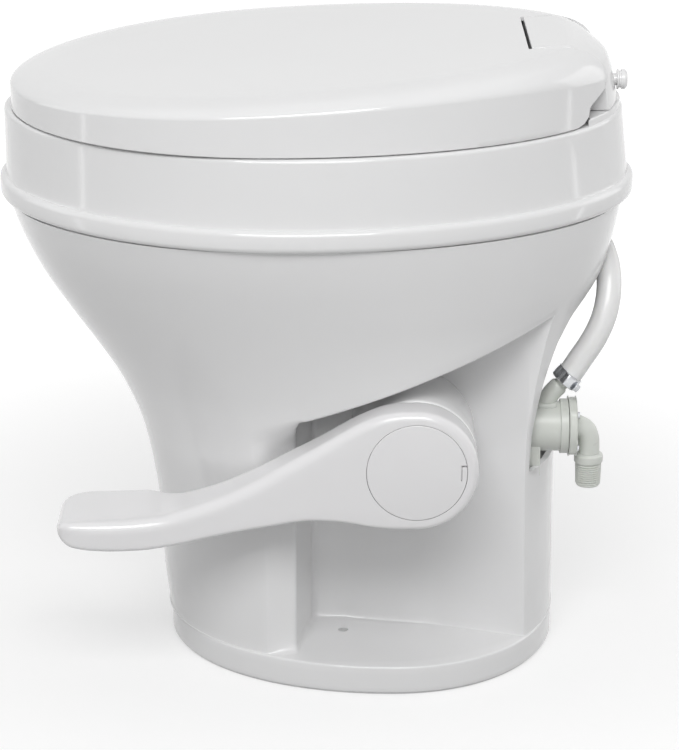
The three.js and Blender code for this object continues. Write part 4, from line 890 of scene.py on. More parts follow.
@dataclass(frozen=True)
class Egg:
    """An egg-shaped outline in plan: a superellipse whose front and rear halves
    each have their own length. With columns for sizes it is a stack of eggs.

    Attributes:
        half: Half of the width.
        front: How far it reaches to the front.
        rear: How far it reaches to the back.
        widest: Station of the widest point.
        power: Power of the superellipse.
    """

    half: float | Array
    front: float | Array
    rear: float | Array
    widest: float | Array
    power: float = 2.0

    def inset(self, by: float | Array) -> "Egg":
        """The same egg drawn in all round."""
        return Egg(self.half - by, self.front - by, self.rear - by, self.widest, self.power)

    def towards(self, other: "Egg", share: float | Array) -> "Egg":
        """The egg a share of the way to another, size by size.

        Args:
            other: The other egg.
            share: One share, or a column of them for a stack of eggs.

        Returns:
            The egg, or the stack.
        """
        return Egg(
            self.half + (other.half - self.half) * share,
            self.front + (other.front - self.front) * share,
            self.rear + (other.rear - self.rear) * share,
            self.widest + (other.widest - self.widest) * share,
            self.power,
        )

    def ring(self, count: int, height: float | Array = 0.0) -> Array:
        """Points round the egg from its front tip, counter-clockwise: X is the
        half width times the sine to the power two over n, Y the reach times
        the cosine to the same power, from the widest station.

        Args:
            count: Number of points.
            height: Height, or a column of them for a stack of eggs.

        Returns:
            The points, one ring for each egg.
        """
        a = np.arange(count) * TAU / count
        s, c = np.sin(a), np.cos(a)
        reach = np.where(c > 0, self.front + self.widest, self.rear - self.widest)
        e = 2.0 / self.power
        x = self.half * np.sign(s) * np.abs(s) ** e
        y = self.widest - reach * np.sign(c) * np.abs(c) ** e
        return np.stack([x, y, np.broadcast_to(np.asarray(height, float), x.shape)], -1)


# Pedestal


@dataclass
class Pedestal:
    """Plinth, column with its two foot wells, bowl skirt and pedal boss.

    Each row of sections is a height, the half width, how far the front and the
    rear reach, and the station of the widest point.
    """

    sections: tuple[Row, ...] = (
        (24, 144.5, 140.4, 168.5, 38), (60, 143, 144.5, 168.5, 37), (100, 142, 146.1, 168, 35),
        (140, 142, 151.1, 168, 31), (180, 142.5, 159.7, 169.5, 26), (220, 146, 176.6, 176, 16),
        (250, 151, 195.7, 184, 4), (280, 158, 216.8, 192.9, -9), (310, 167, 236.1, 204.3, -20),
        (340, 176, 250.4, 211.9, -31), (364, 182, 258.7, 216.5, -38),
    )
    power: float = 2.08
    plinth: Egg = Egg(148, 138.6, 168.5, 38.2, 2.08)
    plinth_top: float = 23.0
    plinth_edge: float = 1.6
    eye: float = -60.0  # station that every ray leaves from
    search: float = 420.0  # no surface is further from the eye
    halvings: int = 34
    far_off: float = 900.0  # distance of a wall that isn't there
    well: tuple[Row, ...] = (
        (164.2, -176), (116, -36.5), (52.3, -24), (52.3, 2), (65, 73), (88.5, 140.7), (105, 188)
    )
    well_rounds: Row = (0, 4, 6, 25, 60, 30, 0)
    ceiling: float = 217.5
    ceiling_from: float = -36.0
    first_guess: float = 240.0  # height at which the search for its edge starts
    ceiling_slope: float = 0.36
    floor_fillet: float = 6.0
    least_fillet: float = 0.6
    ceiling_fillet: float = 5.0
    lip: float = 3.2
    least_depth: float = 1.0  # a shallower well has no ceiling
    run_out: float = 9.0  # depth over which the ceiling comes in
    round_fit: float = 2.4  # no rounding takes more than the depth over this
    corner_turn: float = 0.05  # radians of ease behind the well's front corner
    flare: float = 36.0
    meet_drop: float = 9.0  # how far under the skirt's line the plain rows start
    meet_rise: float = 6.0  # and how far over it they end
    foot_steps: tuple[Row, ...] = ((0, 2), (1.3, 2), (1.9, 0.2), (2.6, 0), (6, 0), (11, 0), (16, 0))
    skirt_top: float = 364.0
    wall: float = 4.6
    columns: int = 400
    column_height: float = 120.0  # height at which the columns are spread
    column_bend: float = 9.0  # length that a radian of bend counts as
    boss_radius: float = 46.4
    boss_from: float = 50.0
    boss_end: float = 137.3
    boss_edge: float = 2.6
    boss_flare: float = 2.2
    boss_bore: float = 42.8
    boss_hole: float = 11.8
    boss_wall: float = 3.5
    hub: Row = (54.75, 190.0)
    bolt: float = 76.2
    outlet: float = 44.5
    floor_levels: Row = (0.05, 0.05, 5.9, 5.9)

    def outside(self, turn: Array, height: Array, egg: Egg | None = None) -> Array:
        """Distance from the eye to the outer surface along a ray: where the
        superellipse's own sum of powers reaches one, found by halving.

        Args:
            turn: Angle of the ray from the front, towards +X.
            height: Height of the section, same shape.
            egg: A fixed outline to use in place of the sections.

        Returns:
            The distances.
        """
        table = np.array(self.sections)
        if egg is None:
            half, front, rear, widest = (
                smooth_through(height, table[:, 0], table[:, k]) for k in range(1, 5)
            )
        else:
            half, front, rear, widest = egg.half, egg.front, egg.rear, egg.widest
        dx, dy = np.abs(np.sin(turn)), -np.cos(turn)
        low, high = np.zeros_like(height), np.full_like(height, self.search)
        for _ in range(self.halvings):
            mid = (low + high) / 2
            x, y = mid * dx, self.eye + mid * dy
            reach = np.where(y < widest, front + widest, rear - widest)
            total = np.abs(x / half) ** self.power + np.abs((y - widest) / reach) ** self.power
            low, high = np.where(total < 1, mid, low), np.where(total < 1, high, mid)
        return low

    @staticmethod
    def folded(turn: Array) -> Array:
        """Angle from the front, the same for both sides."""
        return np.abs((turn + math.pi) % TAU - math.pi)

    def well_reach(self, turn: Array) -> Array:
        """Distance from the eye to the well's wall, or a long way where there
        is no well. The wall is a rounded path, finely cut and read by its
        angle.

        Args:
            turn: Angle of the ray from the front, towards +X.

        Returns:
            The distances.
        """
        path = rounded_path(np.array(self.well, float), np.array(self.well_rounds), 10, False)
        finer = 24
        fine = np.linspace(path[:-1], path[1:], finer, endpoint=False, axis=1).reshape(-1, 2)
        x, y = fine[:, 0], fine[:, 1] - self.eye
        angle, reach = np.arctan2(x, -y), np.hypot(x, y)
        return np.interp(self.folded(turn), angle, reach, left=self.far_off, right=self.far_off)

    def spread(self) -> Array:
        """Spreads the columns evenly along the well's outline at mid height,
        with more of them where it turns.

        Returns:
            The angle of each column.
        """
        turn = np.linspace(0, TAU, 8001)
        level = np.full_like(turn, self.column_height)
        r = np.minimum(self.outside(turn, level), self.well_reach(turn))
        path = np.stack([r * np.sin(turn), -r * np.cos(turn)], 1)
        return even_along(path, turn[:, None], self.columns, self.column_bend)[:, 0]

    def ceiling_at(self, turn: Array, reach: Array) -> Array:
        """Height of the wells' ceiling, which climbs evenly to the back."""
        y = self.eye - reach * np.cos(turn)
        return self.ceiling + (y - self.ceiling_from) * self.ceiling_slope

    def skin_rows(self, turn: Array, by: float) -> Array:
        """One side of the wall as a function of the ray's angle and a station
        that goes up the plinth, in over the well's floor, up the wall, out
        under the ceiling, round the lip and up the skirt. Where there is no
        well, the stations of the ceiling spread up the plain section instead,
        by a smooth share of the well's depth.

        Args:
            turn: Angles of the columns.
            by: How far the side lies inside the outer surface.

        Returns:
            A grid of points.
        """
        well = self.well_reach(turn) - by
        foot_reach, foot_height = self.foot_rows(turn, well, by)
        lip = self.lip_reach(turn, by)
        wall_top = soft_least(lip, well)
        depth = np.maximum(lip - wall_top, 0)
        share = eased((depth - self.least_depth) / self.run_out) * self.past_corner(turn)
        hollow = np.minimum(self.ceiling_fillet + by * 0.5, depth / self.round_fit)
        edge = np.minimum(max(self.lip - by * 0.6, 0.4), depth / self.round_fit)
        meet = self.ceiling_under(turn, lip, by)

        # Up the wall: to the ceiling's fillet, or to just under the skirt
        start = foot_height[-1]
        stop = (meet - self.meet_drop) * (1 - share)
        stop = stop + (self.ceiling_under(turn, wall_top, by) - hollow) * share
        up = start + (stop - start) * shares(25)
        flared = self.flared(turn, up, well, meet, by)
        wall = soft_least(self.outside(turn, up) - by, well) * share + flared * (1 - share)

        # Out under the ceiling and round the lip, or on up the plain section
        q = quarter(5)
        under = np.concatenate([
            wall_top + hollow * (1 - np.cos(q)),
            (wall_top + hollow) + (lip - edge - wall_top - hollow) * shares(8),
            lip - edge * (1 - np.sin(q)),
        ])
        lift = np.concatenate([
            -hollow * (1 - np.sin(q)), np.zeros((8, len(turn))), edge * (1 - np.cos(q))
        ])
        deep = self.ceiling_under(turn, under, by) + lift
        plain = meet - self.meet_drop + (self.meet_drop + self.meet_rise) * shares(18)
        r = self.flared(turn, plain, well, meet, by) * (1 - share) + under * share
        z = plain * (1 - share) + deep * share

        skirt = z[-1] + (self.skirt_top - z[-1]) * shares(26)
        reach = np.concatenate([foot_reach, wall, r, self.outside(turn, skirt) - by])
        height = np.concatenate([foot_height, up, z, skirt])
        return np.stack([reach * np.sin(turn), self.eye - reach * np.cos(turn), height], -1)

    def foot_rows(self, turn: Array, well: Array, by: float) -> tuple[Array, Array]:
        """Stations up the plinth, round its rim, in over the well's floor and
        round the fillet at the well's foot.

        Args:
            turn: Angles of the columns.
            well: Distance to the well's wall.
            by: How far the side lies inside the outer surface.

        Returns:
            Distances from the eye, and heights.
        """
        flat = np.zeros_like(turn)
        steps = np.array(self.foot_steps)
        base = self.outside(turn, flat, self.plinth) - by
        top, e = self.plinth_top - by * 0.8, self.plinth_edge
        foot = soft_least(self.outside(turn, flat + self.sections[0][0]) - by, well)
        fillet = np.clip((base - e - foot) / 2.2, self.least_fillet, self.floor_fillet)
        rim, q = np.linspace(0, QUARTER, 4)[:, None], quarter(5)
        reach = np.concatenate([
            base - steps[:, 1:],
            base - e * (1 - np.cos(rim)),
            (base - e) + (foot + fillet - base + e) * shares(8),
            foot + fillet * (1 - np.sin(q)),
        ])
        height = np.concatenate([
            steps[:, :1] + flat,
            top - e * (1 - np.sin(rim)) + flat,
            np.full((8, len(turn)), top),
            top + fillet * (1 - np.cos(q)),
        ])
        return reach, height

    def ceiling_under(self, turn: Array, reach: Array, by: float) -> Array:
        """Height of the ceiling's own side at a distance from the eye."""
        return self.ceiling_at(turn, reach + by) + by

    def lip_reach(self, turn: Array, by: float) -> Array:
        """Distance from the eye to where the ceiling meets the skirt, found by
        four rounds of reading the one at the height of the other.

        Args:
            turn: Angles of the columns.
            by: How far the side lies inside the outer surface.

        Returns:
            The distances.
        """
        reach = self.outside(turn, np.full_like(turn, self.first_guess)) - by
        for _ in range(4):
            reach = self.outside(turn, self.ceiling_under(turn, reach, by)) - by
        return reach

    def past_corner(self, turn: Array) -> Array:
        """A share that is nought on the well's shallow front face and one
        behind its corner, with a short ease between.

        Args:
            turn: Angles of the columns.

        Returns:
            The shares.
        """
        x, y = self.well[1]
        corner = math.atan2(x, self.eye - y)
        return eased((self.folded(turn) - corner) / self.corner_turn + 0.5)

    def flared(self, turn: Array, height: Array, well: Array, meet: Array, by: float) -> Array:
        """The wall where it has no ceiling: it leaves the well's outline below
        the skirt and eases out to the skirt by the share of the height.

        Args:
            turn: Angles of the columns.
            height: Heights asked for, stations by columns.
            well: Distance to the well's wall.
            meet: Height at which ceiling and skirt would meet.
            by: How far the side lies inside the outer surface.

        Returns:
            Distances from the eye.
        """
        skirt = self.outside(turn, height) - by
        held = soft_least(skirt, well)
        return held + (skirt - held) * eased((height - meet - self.meet_rise) / self.flare + 1.0)

    def shell(self) -> Skin:
        """The moulding's wall: its outer side, then its inner side back down.

        Returns:
            The skin.
        """
        turn = self.spread()
        both = np.concatenate([self.skin_rows(turn, 0.0), self.skin_rows(turn, self.wall)[::-1]])
        return Skin(both, close_rows=True)

    def window(self) -> bpy.types.Object:
        """Makes the tool for the opening in the back: a rounded arch on a level sill.

        Returns:
            The tool.
        """
        right = np.array([
            (84, 158.5), (82.5, 200), (80.5, 240), (78, 262), (70, 282), (54, 296), (39, 306),
            (30, 318), (26, 332), (24, 346), (12, 351),
        ])
        corners = np.concatenate([right, right[::-1] * [-1, 1]])
        radii = np.array([3.0] + [14.0] * 9 + [10.0])
        outline = rounded_path(corners, np.concatenate([radii, radii[::-1]]), 5)
        return sheet_tool(outline, Axis.Y, 137.0, 260.0)

    def boss(self) -> Skin:
        """The round boss that the pedal turns on: a cylinder along X whose
        radius falls off from the well's wall by an exponential, and a face
        with the hole for the shaft.

        Returns:
            The skin.
        """
        x = np.concatenate([
            np.linspace(self.boss_from, 80, 10), [100, 120, self.boss_end - self.boss_edge]
        ])
        r = self.boss_radius + self.boss_flare * np.exp(-(x - self.boss_from) / 9.0)
        q = quarter(4)[:, 0]
        rim_r = self.boss_radius - self.boss_edge * (1 - np.cos(q))
        rim_x = self.boss_end - self.boss_edge * (1 - np.sin(q))
        inside = self.boss_end - self.boss_wall
        face = np.array([
            [30.0, self.boss_end], [self.boss_hole, self.boss_end], [self.boss_hole, inside],
            [self.boss_bore, inside], [self.boss_bore, self.boss_from],
        ])
        rows = np.concatenate([np.stack([r, x], 1), np.stack([rim_r, rim_x], 1), face])
        return Skin(turned(rows, Axis.X, self.hub, 128), close_rows=True)

    def floor(self) -> Skin:
        """The plate under the hollow column: a flat ring from the outlet's
        hole to the plinth's wall.

        Returns:
            The skin.
        """
        count = 160
        outer = self.plinth.inset(self.wall - 0.6).ring(count)
        hole = Egg(self.outlet, self.outlet, self.outlet, 0.0).ring(count)
        share = np.array([0, 1, 1, 0])[:, None, None]
        rings = outer * (1 - share) + hole * share
        rings[..., 2] += np.array(self.floor_levels)[:, None]
        return Skin(rings, close_rows=True)

    def build(self) -> None:
        """Makes the pieces of the pedestal."""
        shell = mesh_of("pedestal_moulding", [self.shell()])
        holes = [rod_tool(4, 8, 40, Axis.Z, (side * self.bolt, 0), 40) for side in (1, -1)]
        carve(shell, [self.window(), *holes])
        dress(shell, GLOSSY_WHITE, Body.BASE, ("pedestal_shell",))
        dress(mesh_of("pedal_boss", [self.boss()]), GLOSSY_WHITE, Body.BASE, ("pedestal_shell",))
        dress(mesh_of("plinth_floor", [self.floor()]), GLOSSY_WHITE, Body.BASE, ("pedestal_shell",))


# Rim and bowl


@dataclass
class Rim:
    """Rim band with its bead, deck, lip and hinge platform."""

    band: Egg = Egg(183, 260.6, 219.4, -38, 1.94)
    bead: Egg = Egg(188, 265.6, 224.4, -38, 1.94)
    mouth: Egg = Egg(122, 209, 114, -42, 1.94)
    foot: float = 364.3
    bead_flange: float = 7.0  # width of the bead's level underside
    bead_low: float = 5.0  # rounding of its lower edge
    bead_high: float = 4.6  # rounding of its upper edge
    bead_straight: float = 12.5  # height at which the upper one starts
    root: float = 17.6  # height at which the fillet to the band starts
    root_fillet: float = 2.6
    deck: float = 433.5
    edge: float = 3.0
    lean: float = 5.0
    wall: float = 4.0
    platform_from: float = 181.5
    platform_front: float = 139.5
    platform_half: float = 56.6
    platform_rise: float = 5.0
    count: int = 256

    def leaning(self, share: float | Array) -> Egg:
        """The band's outline at a share of its height; its back leans in."""
        band = self.band
        return Egg(band.half, band.front, band.rear - self.lean * share, band.widest, band.power)

    def strip(self, egg: Egg, by: Array, height: Array) -> Array:
        """Rings of one outline, each drawn in and set at its height."""
        return egg.inset(by[:, None]).ring(self.count, height[:, None])

    def ring(self) -> Skin:
        """The band, as a section carried round the egg: under the bead, round
        its two edges, up the band, round the deck's edges into the mouth, and
        back inside.

        Returns:
            The skin.
        """
        arc = np.linspace(0, QUARTER, 6)
        sine, cosine = 1 - np.sin(arc), 1 - np.cos(arc)
        up, across = np.linspace(0, 1, 12)[1:], np.linspace(0, 1, 5)[1:-1]
        foot, deck, edge = self.foot, self.deck, self.edge
        band_from, band_to = foot + self.root + self.root_fillet, deck - edge
        top, inside = self.leaning(1.0), self.deck - self.wall
        over = top.inset(edge).towards(self.mouth.inset(-edge), across[:, None])
        lip = np.array([(1.5, 15.0), (0.3, 16.0), (-1.6, 16.0), (-self.wall, self.wall)])
        strips = [
            self.strip(self.bead, np.array([self.bead_flange]), np.array([foot])),
            self.strip(self.bead, self.bead_low * sine, foot + self.bead_low * cosine),
            self.strip(self.bead, self.bead_high * cosine,
                       foot + self.bead_straight + self.bead_high * np.sin(arc)),
            self.strip(self.band, -0.4 * sine[1:],
                       foot + self.root + self.root_fillet * cosine[1:]),
            self.strip(self.leaning(up[:, None]), 0 * up, band_from + (band_to - band_from) * up),
            self.strip(top, edge * cosine[1:], deck - edge * sine[1:]),
            self.strip(over, 0 * across, deck + 0 * across),
            self.strip(self.mouth, edge * np.sin(arc) - edge, deck - edge * cosine),
            self.strip(self.mouth, lip[:, 0], deck - lip[:, 1]),
            self.strip(top, np.array([edge + self.wall]), np.array([inside])),
            self.strip(self.band, np.array([self.wall] * 2), np.array([deck - 12.0, foot])),
        ]
        return Skin(np.concatenate(strips), close_rows=True)

    def platform(self) -> Skin:
        """The raised deck under the hinge cover: an outline in plan that
        follows the band's rear edge, with a rounded rim.

        Returns:
            The skin.
        """
        ring = self.leaning(1.0).inset(2.0).ring(720)
        rear = ring[ring[:, 1] > self.platform_from][:, :2]
        rear = rear[np.argsort(-rear[:, 0])]
        x, y, front = self.platform_half, self.platform_from, self.platform_front
        outline = np.concatenate([rear, [(-x, y), (-x, front), (x, front), (x, y)]])
        rise = self.platform_rise
        return plate(outline, Axis.Z, self.deck - rise, self.deck + rise, 1.0, 3)

    def post(self) -> Skin:
        """The upright tab that the hinge bolt goes through.

        Returns:
            The skin.
        """
        outline = rounded_path(
            np.array([(-14, 432.6), (14, 432.6), (14, 457.8), (-14, 457.8)], float),
            np.array([0, 0, 5, 5.0]),
        )
        return plate(outline[::-1], Axis.Y, 196.0, 200.0, 0.6, 2)

    def build(self) -> None:
        """Makes the pieces of the rim."""
        dress(mesh_of("rim_band_moulding", [self.ring()]), GLOSSY_WHITE, Body.BASE, ("rim_band",))
        dress(mesh_of("hinge_platform", [self.platform()]), GLOSSY_WHITE, Body.BASE, ("rim_band",))
        dress(mesh_of("hinge_post", [self.post()]), GLOSSY_WHITE, Body.BASE, ("rim_band",))


@dataclass
class Bowl:
    """The egg-shaped liner that leads down to the ball."""

    table: tuple[Row, ...] = (
        (0, 0, 0, 0, 0), (0.06, 0.1, 0.1, 0.15, 0), (0.16, 0.3, 0.32, 0.39, 0.12),
        (0.36, 0.6, 0.6, 0.66, 0.36), (0.61, 0.85, 0.83, 0.84, 0.72),
        (0.86, 0.97, 0.96, 0.95, 0.95), (1, 1, 1, 1, 1),
    )
    outlet: float = 26.0
    mouth: Egg = Egg(141, 228, 133, -42, 2.0)
    foot: float = 228.0
    top: float = 429.0
    wall: float = 4.0
    count: int = 160

    def surface(self, by: float, rows: int = 60) -> Array:
        """The liner at a distance outwards: each size goes from the outlet's
        radius to the mouth's by its own smooth share of the height.

        Args:
            by: Distance outwards in mm.
            rows: Number of rows.

        Returns:
            A grid of points.
        """
        t = np.array(self.table)
        s = np.linspace(0, 1, rows)
        w, f, r, c = (smooth_through(s, t[:, 0], t[:, k])[:, None] for k in range(1, 5))
        z = self.foot + (self.top - self.foot) * s
        eggs = Egg(
            self.outlet + (self.mouth.half - self.outlet) * w + by,
            self.outlet + (self.mouth.front - self.outlet) * f + by,
            self.outlet + (self.mouth.rear - self.outlet) * r + by,
            self.mouth.widest * c,
        )
        return eggs.ring(self.count, z[:, None])

    def build(self) -> None:
        """Makes the liner."""
        grid = np.concatenate([self.surface(self.wall), self.surface(0.0)[::-1]])
        liner = mesh_of("bowl_liner_moulding", [Skin(grid, close_rows=True)])
        carve(liner, [rod_tool(8.3, 104, 130, Axis.Y, (4, 340.7))])
        dress(liner, BOWL_WHITE, Body.BASE, ("bowl_liner",))


# Seat and lid


@dataclass
class Hinge:
    """The fixed hinge cover with its bolt, and the axis the lid turns on."""

    y: float = 183.0
    z: float = 466.0
    half: float = 56.0
    bow: float = 10.0
    ear_thick: float = 4.0
    outline: tuple[Row, ...] = (
        (140.7, 438.8), (199.8, 438.8), (197.6, 451), (195.4, 462.3), (191.8, 473.8),
        (180.5, 483.4), (168.5, 488.3), (140.7, 487.0),
    )
    rounds: Row = (0.8, 1.0, 20.0, 16.0, 14.0, 18.0, 16.0, 1.5)
    bows: Row = (0, 1, 1, 1, 0.95, 0.75, 0.5, 0)
    rim: float = 1.6
    bolt_at: Row = (0.0, 450.0)

    def cover(self) -> Skin:
        """The cover: a rounded side outline carried across, its back bowed out
        by a parabola towards the middle and its two rims rounded over.

        Returns:
            The skin, closed at both sides.
        """
        table = np.column_stack([np.array(self.outline, float), self.bows])
        path = rounded_path(table, np.array(self.rounds), 6)
        q = np.linspace(0, QUARTER, 5)[:-1]
        drop, draw = self.rim * (1 - np.cos(q)), self.rim * (1 - np.sin(q))
        level = np.linspace(-1, 1, 41) * (self.half - self.rim)
        x = np.concatenate([-self.half + drop, level, (self.half - drop)[::-1]])
        inset = np.concatenate([draw, np.zeros_like(level), draw[::-1]])
        out = path[:, :2] - path[:, :2].mean(0)
        out /= np.linalg.norm(out, axis=1)[:, None]
        bulge = self.bow * (1 - (x / self.half) ** 2)
        yz = path[:, :2] - inset[:, None, None] * out
        y = yz[..., 0] + bulge[:, None] * path[:, 2]
        xs = np.broadcast_to(x[:, None], y.shape)
        return Skin(np.stack([xs, y, yz[..., 1]], -1), caps=True)

    def bolt(self) -> list[Skin]:
        """Turned shank of the bolt, and its washer.

        Returns:
            The two skins.
        """
        shank = lathe_skin(
            [(0, 186.5), (3, 186.5), (3, 199), (4.6, 205), (4.6, 213), (0, 213)],
            [0, 0, 1, 3, 0, 0], Axis.Y, self.bolt_at, 48,
        )
        washer = lathe_skin(
            [(4.0, 210), (7.8, 210), (7.8, 211.4), (4.0, 211.4)], [0.2, 0.5, 0.5, 0.2], Axis.Y,
            self.bolt_at,
        )
        return [shank, washer]

    def bolt_head(self) -> bpy.types.Object:
        """The bolt's head: a turned low dome with one slot across it.

        Returns:
            The piece.
        """
        head = lathe_skin(
            [(0, 211.5), (6.6, 211.5), (6.6, 213.2), (7.7, 213.4), (7.7, 216.2), (5.4, 218),
             (0, 218)],
            [0, 0.3, 0.2, 0.4, 1.4, 1.6, 0], Axis.Y, self.bolt_at,
        )
        made = mesh_of("hinge_bolt_head", [head])
        return carve(made, [box_tool((-0.9, 215.6, 440), (0.9, 220, 460))])

    def build(self) -> None:
        """Makes the pieces of the hinge."""
        cover = mesh_of("hinge_cover_moulding", [self.cover()])
        dress(cover, GLOSSY_WHITE, Body.BASE, ("hinge_cover",))
        dress(mesh_of("hinge_bolt_shank", self.bolt()), GLOSSY_WHITE, Body.BASE, ("hinge_bolt",))
        dress(self.bolt_head(), GLOSSY_WHITE, Body.BASE, ("hinge_bolt",))

    def ear(self, side: int, start: float, radius: float, neck: list[Row]) -> Skin:
        """An ear on the axis: a round end and a neck, as one plate.

        Args:
            side: 1 for +X, -1 for -X.
            start: Nearer face from the middle.
            radius: Radius of the round end.
            neck: The neck's corners after the round end, counter-clockwise.

        Returns:
            The skin.
        """
        a = np.linspace(math.radians(-80), math.radians(120), 20)
        end = np.stack([self.y + radius * np.cos(a), self.z + radius * np.sin(a)], 1)
        outline = np.concatenate([end, np.array(neck, float)])
        low, high = sorted((side * start, side * (start + self.ear_thick)))
        return plate(outline, Axis.X, low, high, 0.5, 2)


@dataclass
class Lid:
    """The lid: skirt, soft edge, shoulder and a flat top that climbs back."""

    plan: Egg = Egg(181, 255, 211, -54, 2.03)
    under: float = 434.3
    top: float = 459.0
    slope: float = 0.064
    edge_front: float = 7.0
    edge_rear: float = 15.0
    edge_tail: float = 16.0
    shoulder: float = 36.0
    foot: float = 0.6  # height of the chamfer round the lower edge
    crown: float = 2.5
    wall: float = 3.0
    count: int = 300
    slot_half: float = 57.3
    slot_from: float = 138.3

    def top_at(self, y: Array) -> Array:
        """Height of the top plane's edge over a station."""
        return self.top + self.slope * (y + self.plan.front - self.edge_front)

    def edge_at(self, y: Array) -> Array:
        """Radius of the top edge, which grows to the back by the square, and
        at the very back by the tenth power.

        Args:
            y: Stations along the lid.

        Returns:
            The radii.
        """
        share = np.clip((y + self.plan.front) / (self.plan.front + self.plan.rear), 0, 1)
        grown = (self.edge_rear - self.edge_front) * share**2
        return self.edge_front + grown + self.edge_tail * share**10

    def shell(self) -> Skin:
        """The outside as a function of the angle round the egg and a station
        up the skirt, over the edge's arc, up the shoulder and in to the
        middle, where every row shrinks to a point.

        Returns:
            The skin, open below.
        """
        ring = self.plan.ring(self.count)
        x, y = ring[:, 0], ring[:, 1]
        edge, flat = self.edge_at(y), np.zeros(self.count)
        skirt = self.under + self.foot
        skirt = skirt + (self.top_at(y) - edge - self.under - self.foot) * shares(8)
        q = shares(26) ** 1.5 * QUARTER
        inward = np.concatenate([
            [flat + 0.5, flat], np.zeros((8, self.count)), self.shoulder * (1 - np.cos(q)) + flat
        ])
        share = inward / np.hypot(x, y - self.plan.widest)
        at = y - (y - self.plan.widest) * share
        arc = self.top_at(at[10:]) + self.crown - (edge + self.crown) * (1 - np.sin(q))
        height = np.concatenate([[flat + self.under, flat + self.under + self.foot], skirt, arc])
        rows = np.stack([x * (1 - share), at, height], -1)
        middle = np.array([0.0, self.plan.widest])
        in_ = middle + (rows[-1, :, :2] - middle) * (1 - shares(15))[..., None]
        top = np.concatenate([in_, self.top_at(in_[..., 1:]) + self.crown], -1)
        return Skin(np.concatenate([rows, top]))

    def notch(self) -> bpy.types.Object:
        """Cutter for the curved relief at both rear corners of the skirt.

        Returns:
            The tool.
        """
        corners = np.array([
            (173.2, 400), (260, 400), (260, 462.6), (196.5, 462.6), (195.4, 457.4), (189.4, 452.8),
            (183.6, 448.2), (182.2, 440.4), (178.6, 436.6), (173.2, 434.6),
        ], float)
        radii = np.array([0, 0, 0, 1.5, 3, 5, 4, 3, 3, 1.0])
        return sheet_tool(rounded_path(corners, radii), Axis.X, -230.0, 230.0)

    def build(self, hinge: Hinge) -> None:
        """Makes the lid with its two ears.

        Args:
            hinge: The hinge it turns on.
        """
        shell = thicken(mesh_of("lid_moulding", [self.shell()]), self.wall)
        slot = box_tool((-self.slot_half, self.slot_from, 380), (self.slot_half, 300, 560))
        carve(shell, [slot, self.notch()])
        dress(shell, GLOSSY_WHITE, Body.LID, ("lid_shell",))
        neck = [(172.0, 480.0), (176.4, 466.0), (178.2, 461.4)]
        ears = [hinge.ear(side, 62.9, 6.6, neck) for side in (1, -1)]
        dress(mesh_of("lid_ears", ears), GLOSSY_WHITE, Body.LID, ("lid_shell",))


@dataclass
class Seat:
    """The seat ring under the lid, with its two arms."""

    outer: Egg = Egg(172, 246, 168, -50, 2.0)
    hole: Egg = Egg(104, 190, 92, -50, 2.0)
    under: float = 436.8
    count: int = 220

    def ring(self) -> Skin:
        """The ring: its section is a low arch from the outer rim to the inner,
        open below, with a three millimetre wall.

        Returns:
            The skin.
        """
        q = np.linspace(0, QUARTER, 6)
        share = np.concatenate([
            [0.0, 0.0], 0.04 * (1 - np.cos(q[1:])), [0.2, 0.4, 0.6, 0.8],
            1 - 0.13 * (1 - np.sin(q[::-1])), [1.0, 0.955, 0.955, 0.8, 0.2, 0.045, 0.045],
        ])
        lift = np.concatenate([
            [0.0, 5.8], 5.8 + 3.0 * np.sin(q[1:]), [9.1, 9.2, 9.2, 9.0],
            3.2 + 5.6 * np.cos(q[::-1]), [0.0, 0.0, 2.4, 5.8, 6.2, 5.6, 0.0],
        ])
        eggs = self.outer.towards(self.hole, share[:, None])
        return Skin(eggs.ring(self.count, self.under + lift[:, None]), close_rows=True)

    def build(self, hinge: Hinge) -> None:
        """Makes the seat with its arms.

        Args:
            hinge: The hinge it turns on.
        """
        ring = mesh_of("seat_ring_moulding", [self.ring()])
        carve(ring, [box_tool((-57.3, 135, 400), (57.3, 260, 520))])
        dress(ring, GLOSSY_WHITE, Body.SEAT, ("seat_ring",))
        neck = [(141.8, 445.8), (141.8, 437.0), (161.2, 437.0), (168.5, 459.0)]
        ears = [hinge.ear(side, 58.2, 5.2, neck) for side in (1, -1)]
        dress(mesh_of("seat_arms", ears), GLOSSY_WHITE, Body.SEAT, ("seat_ring",))


# Pedal


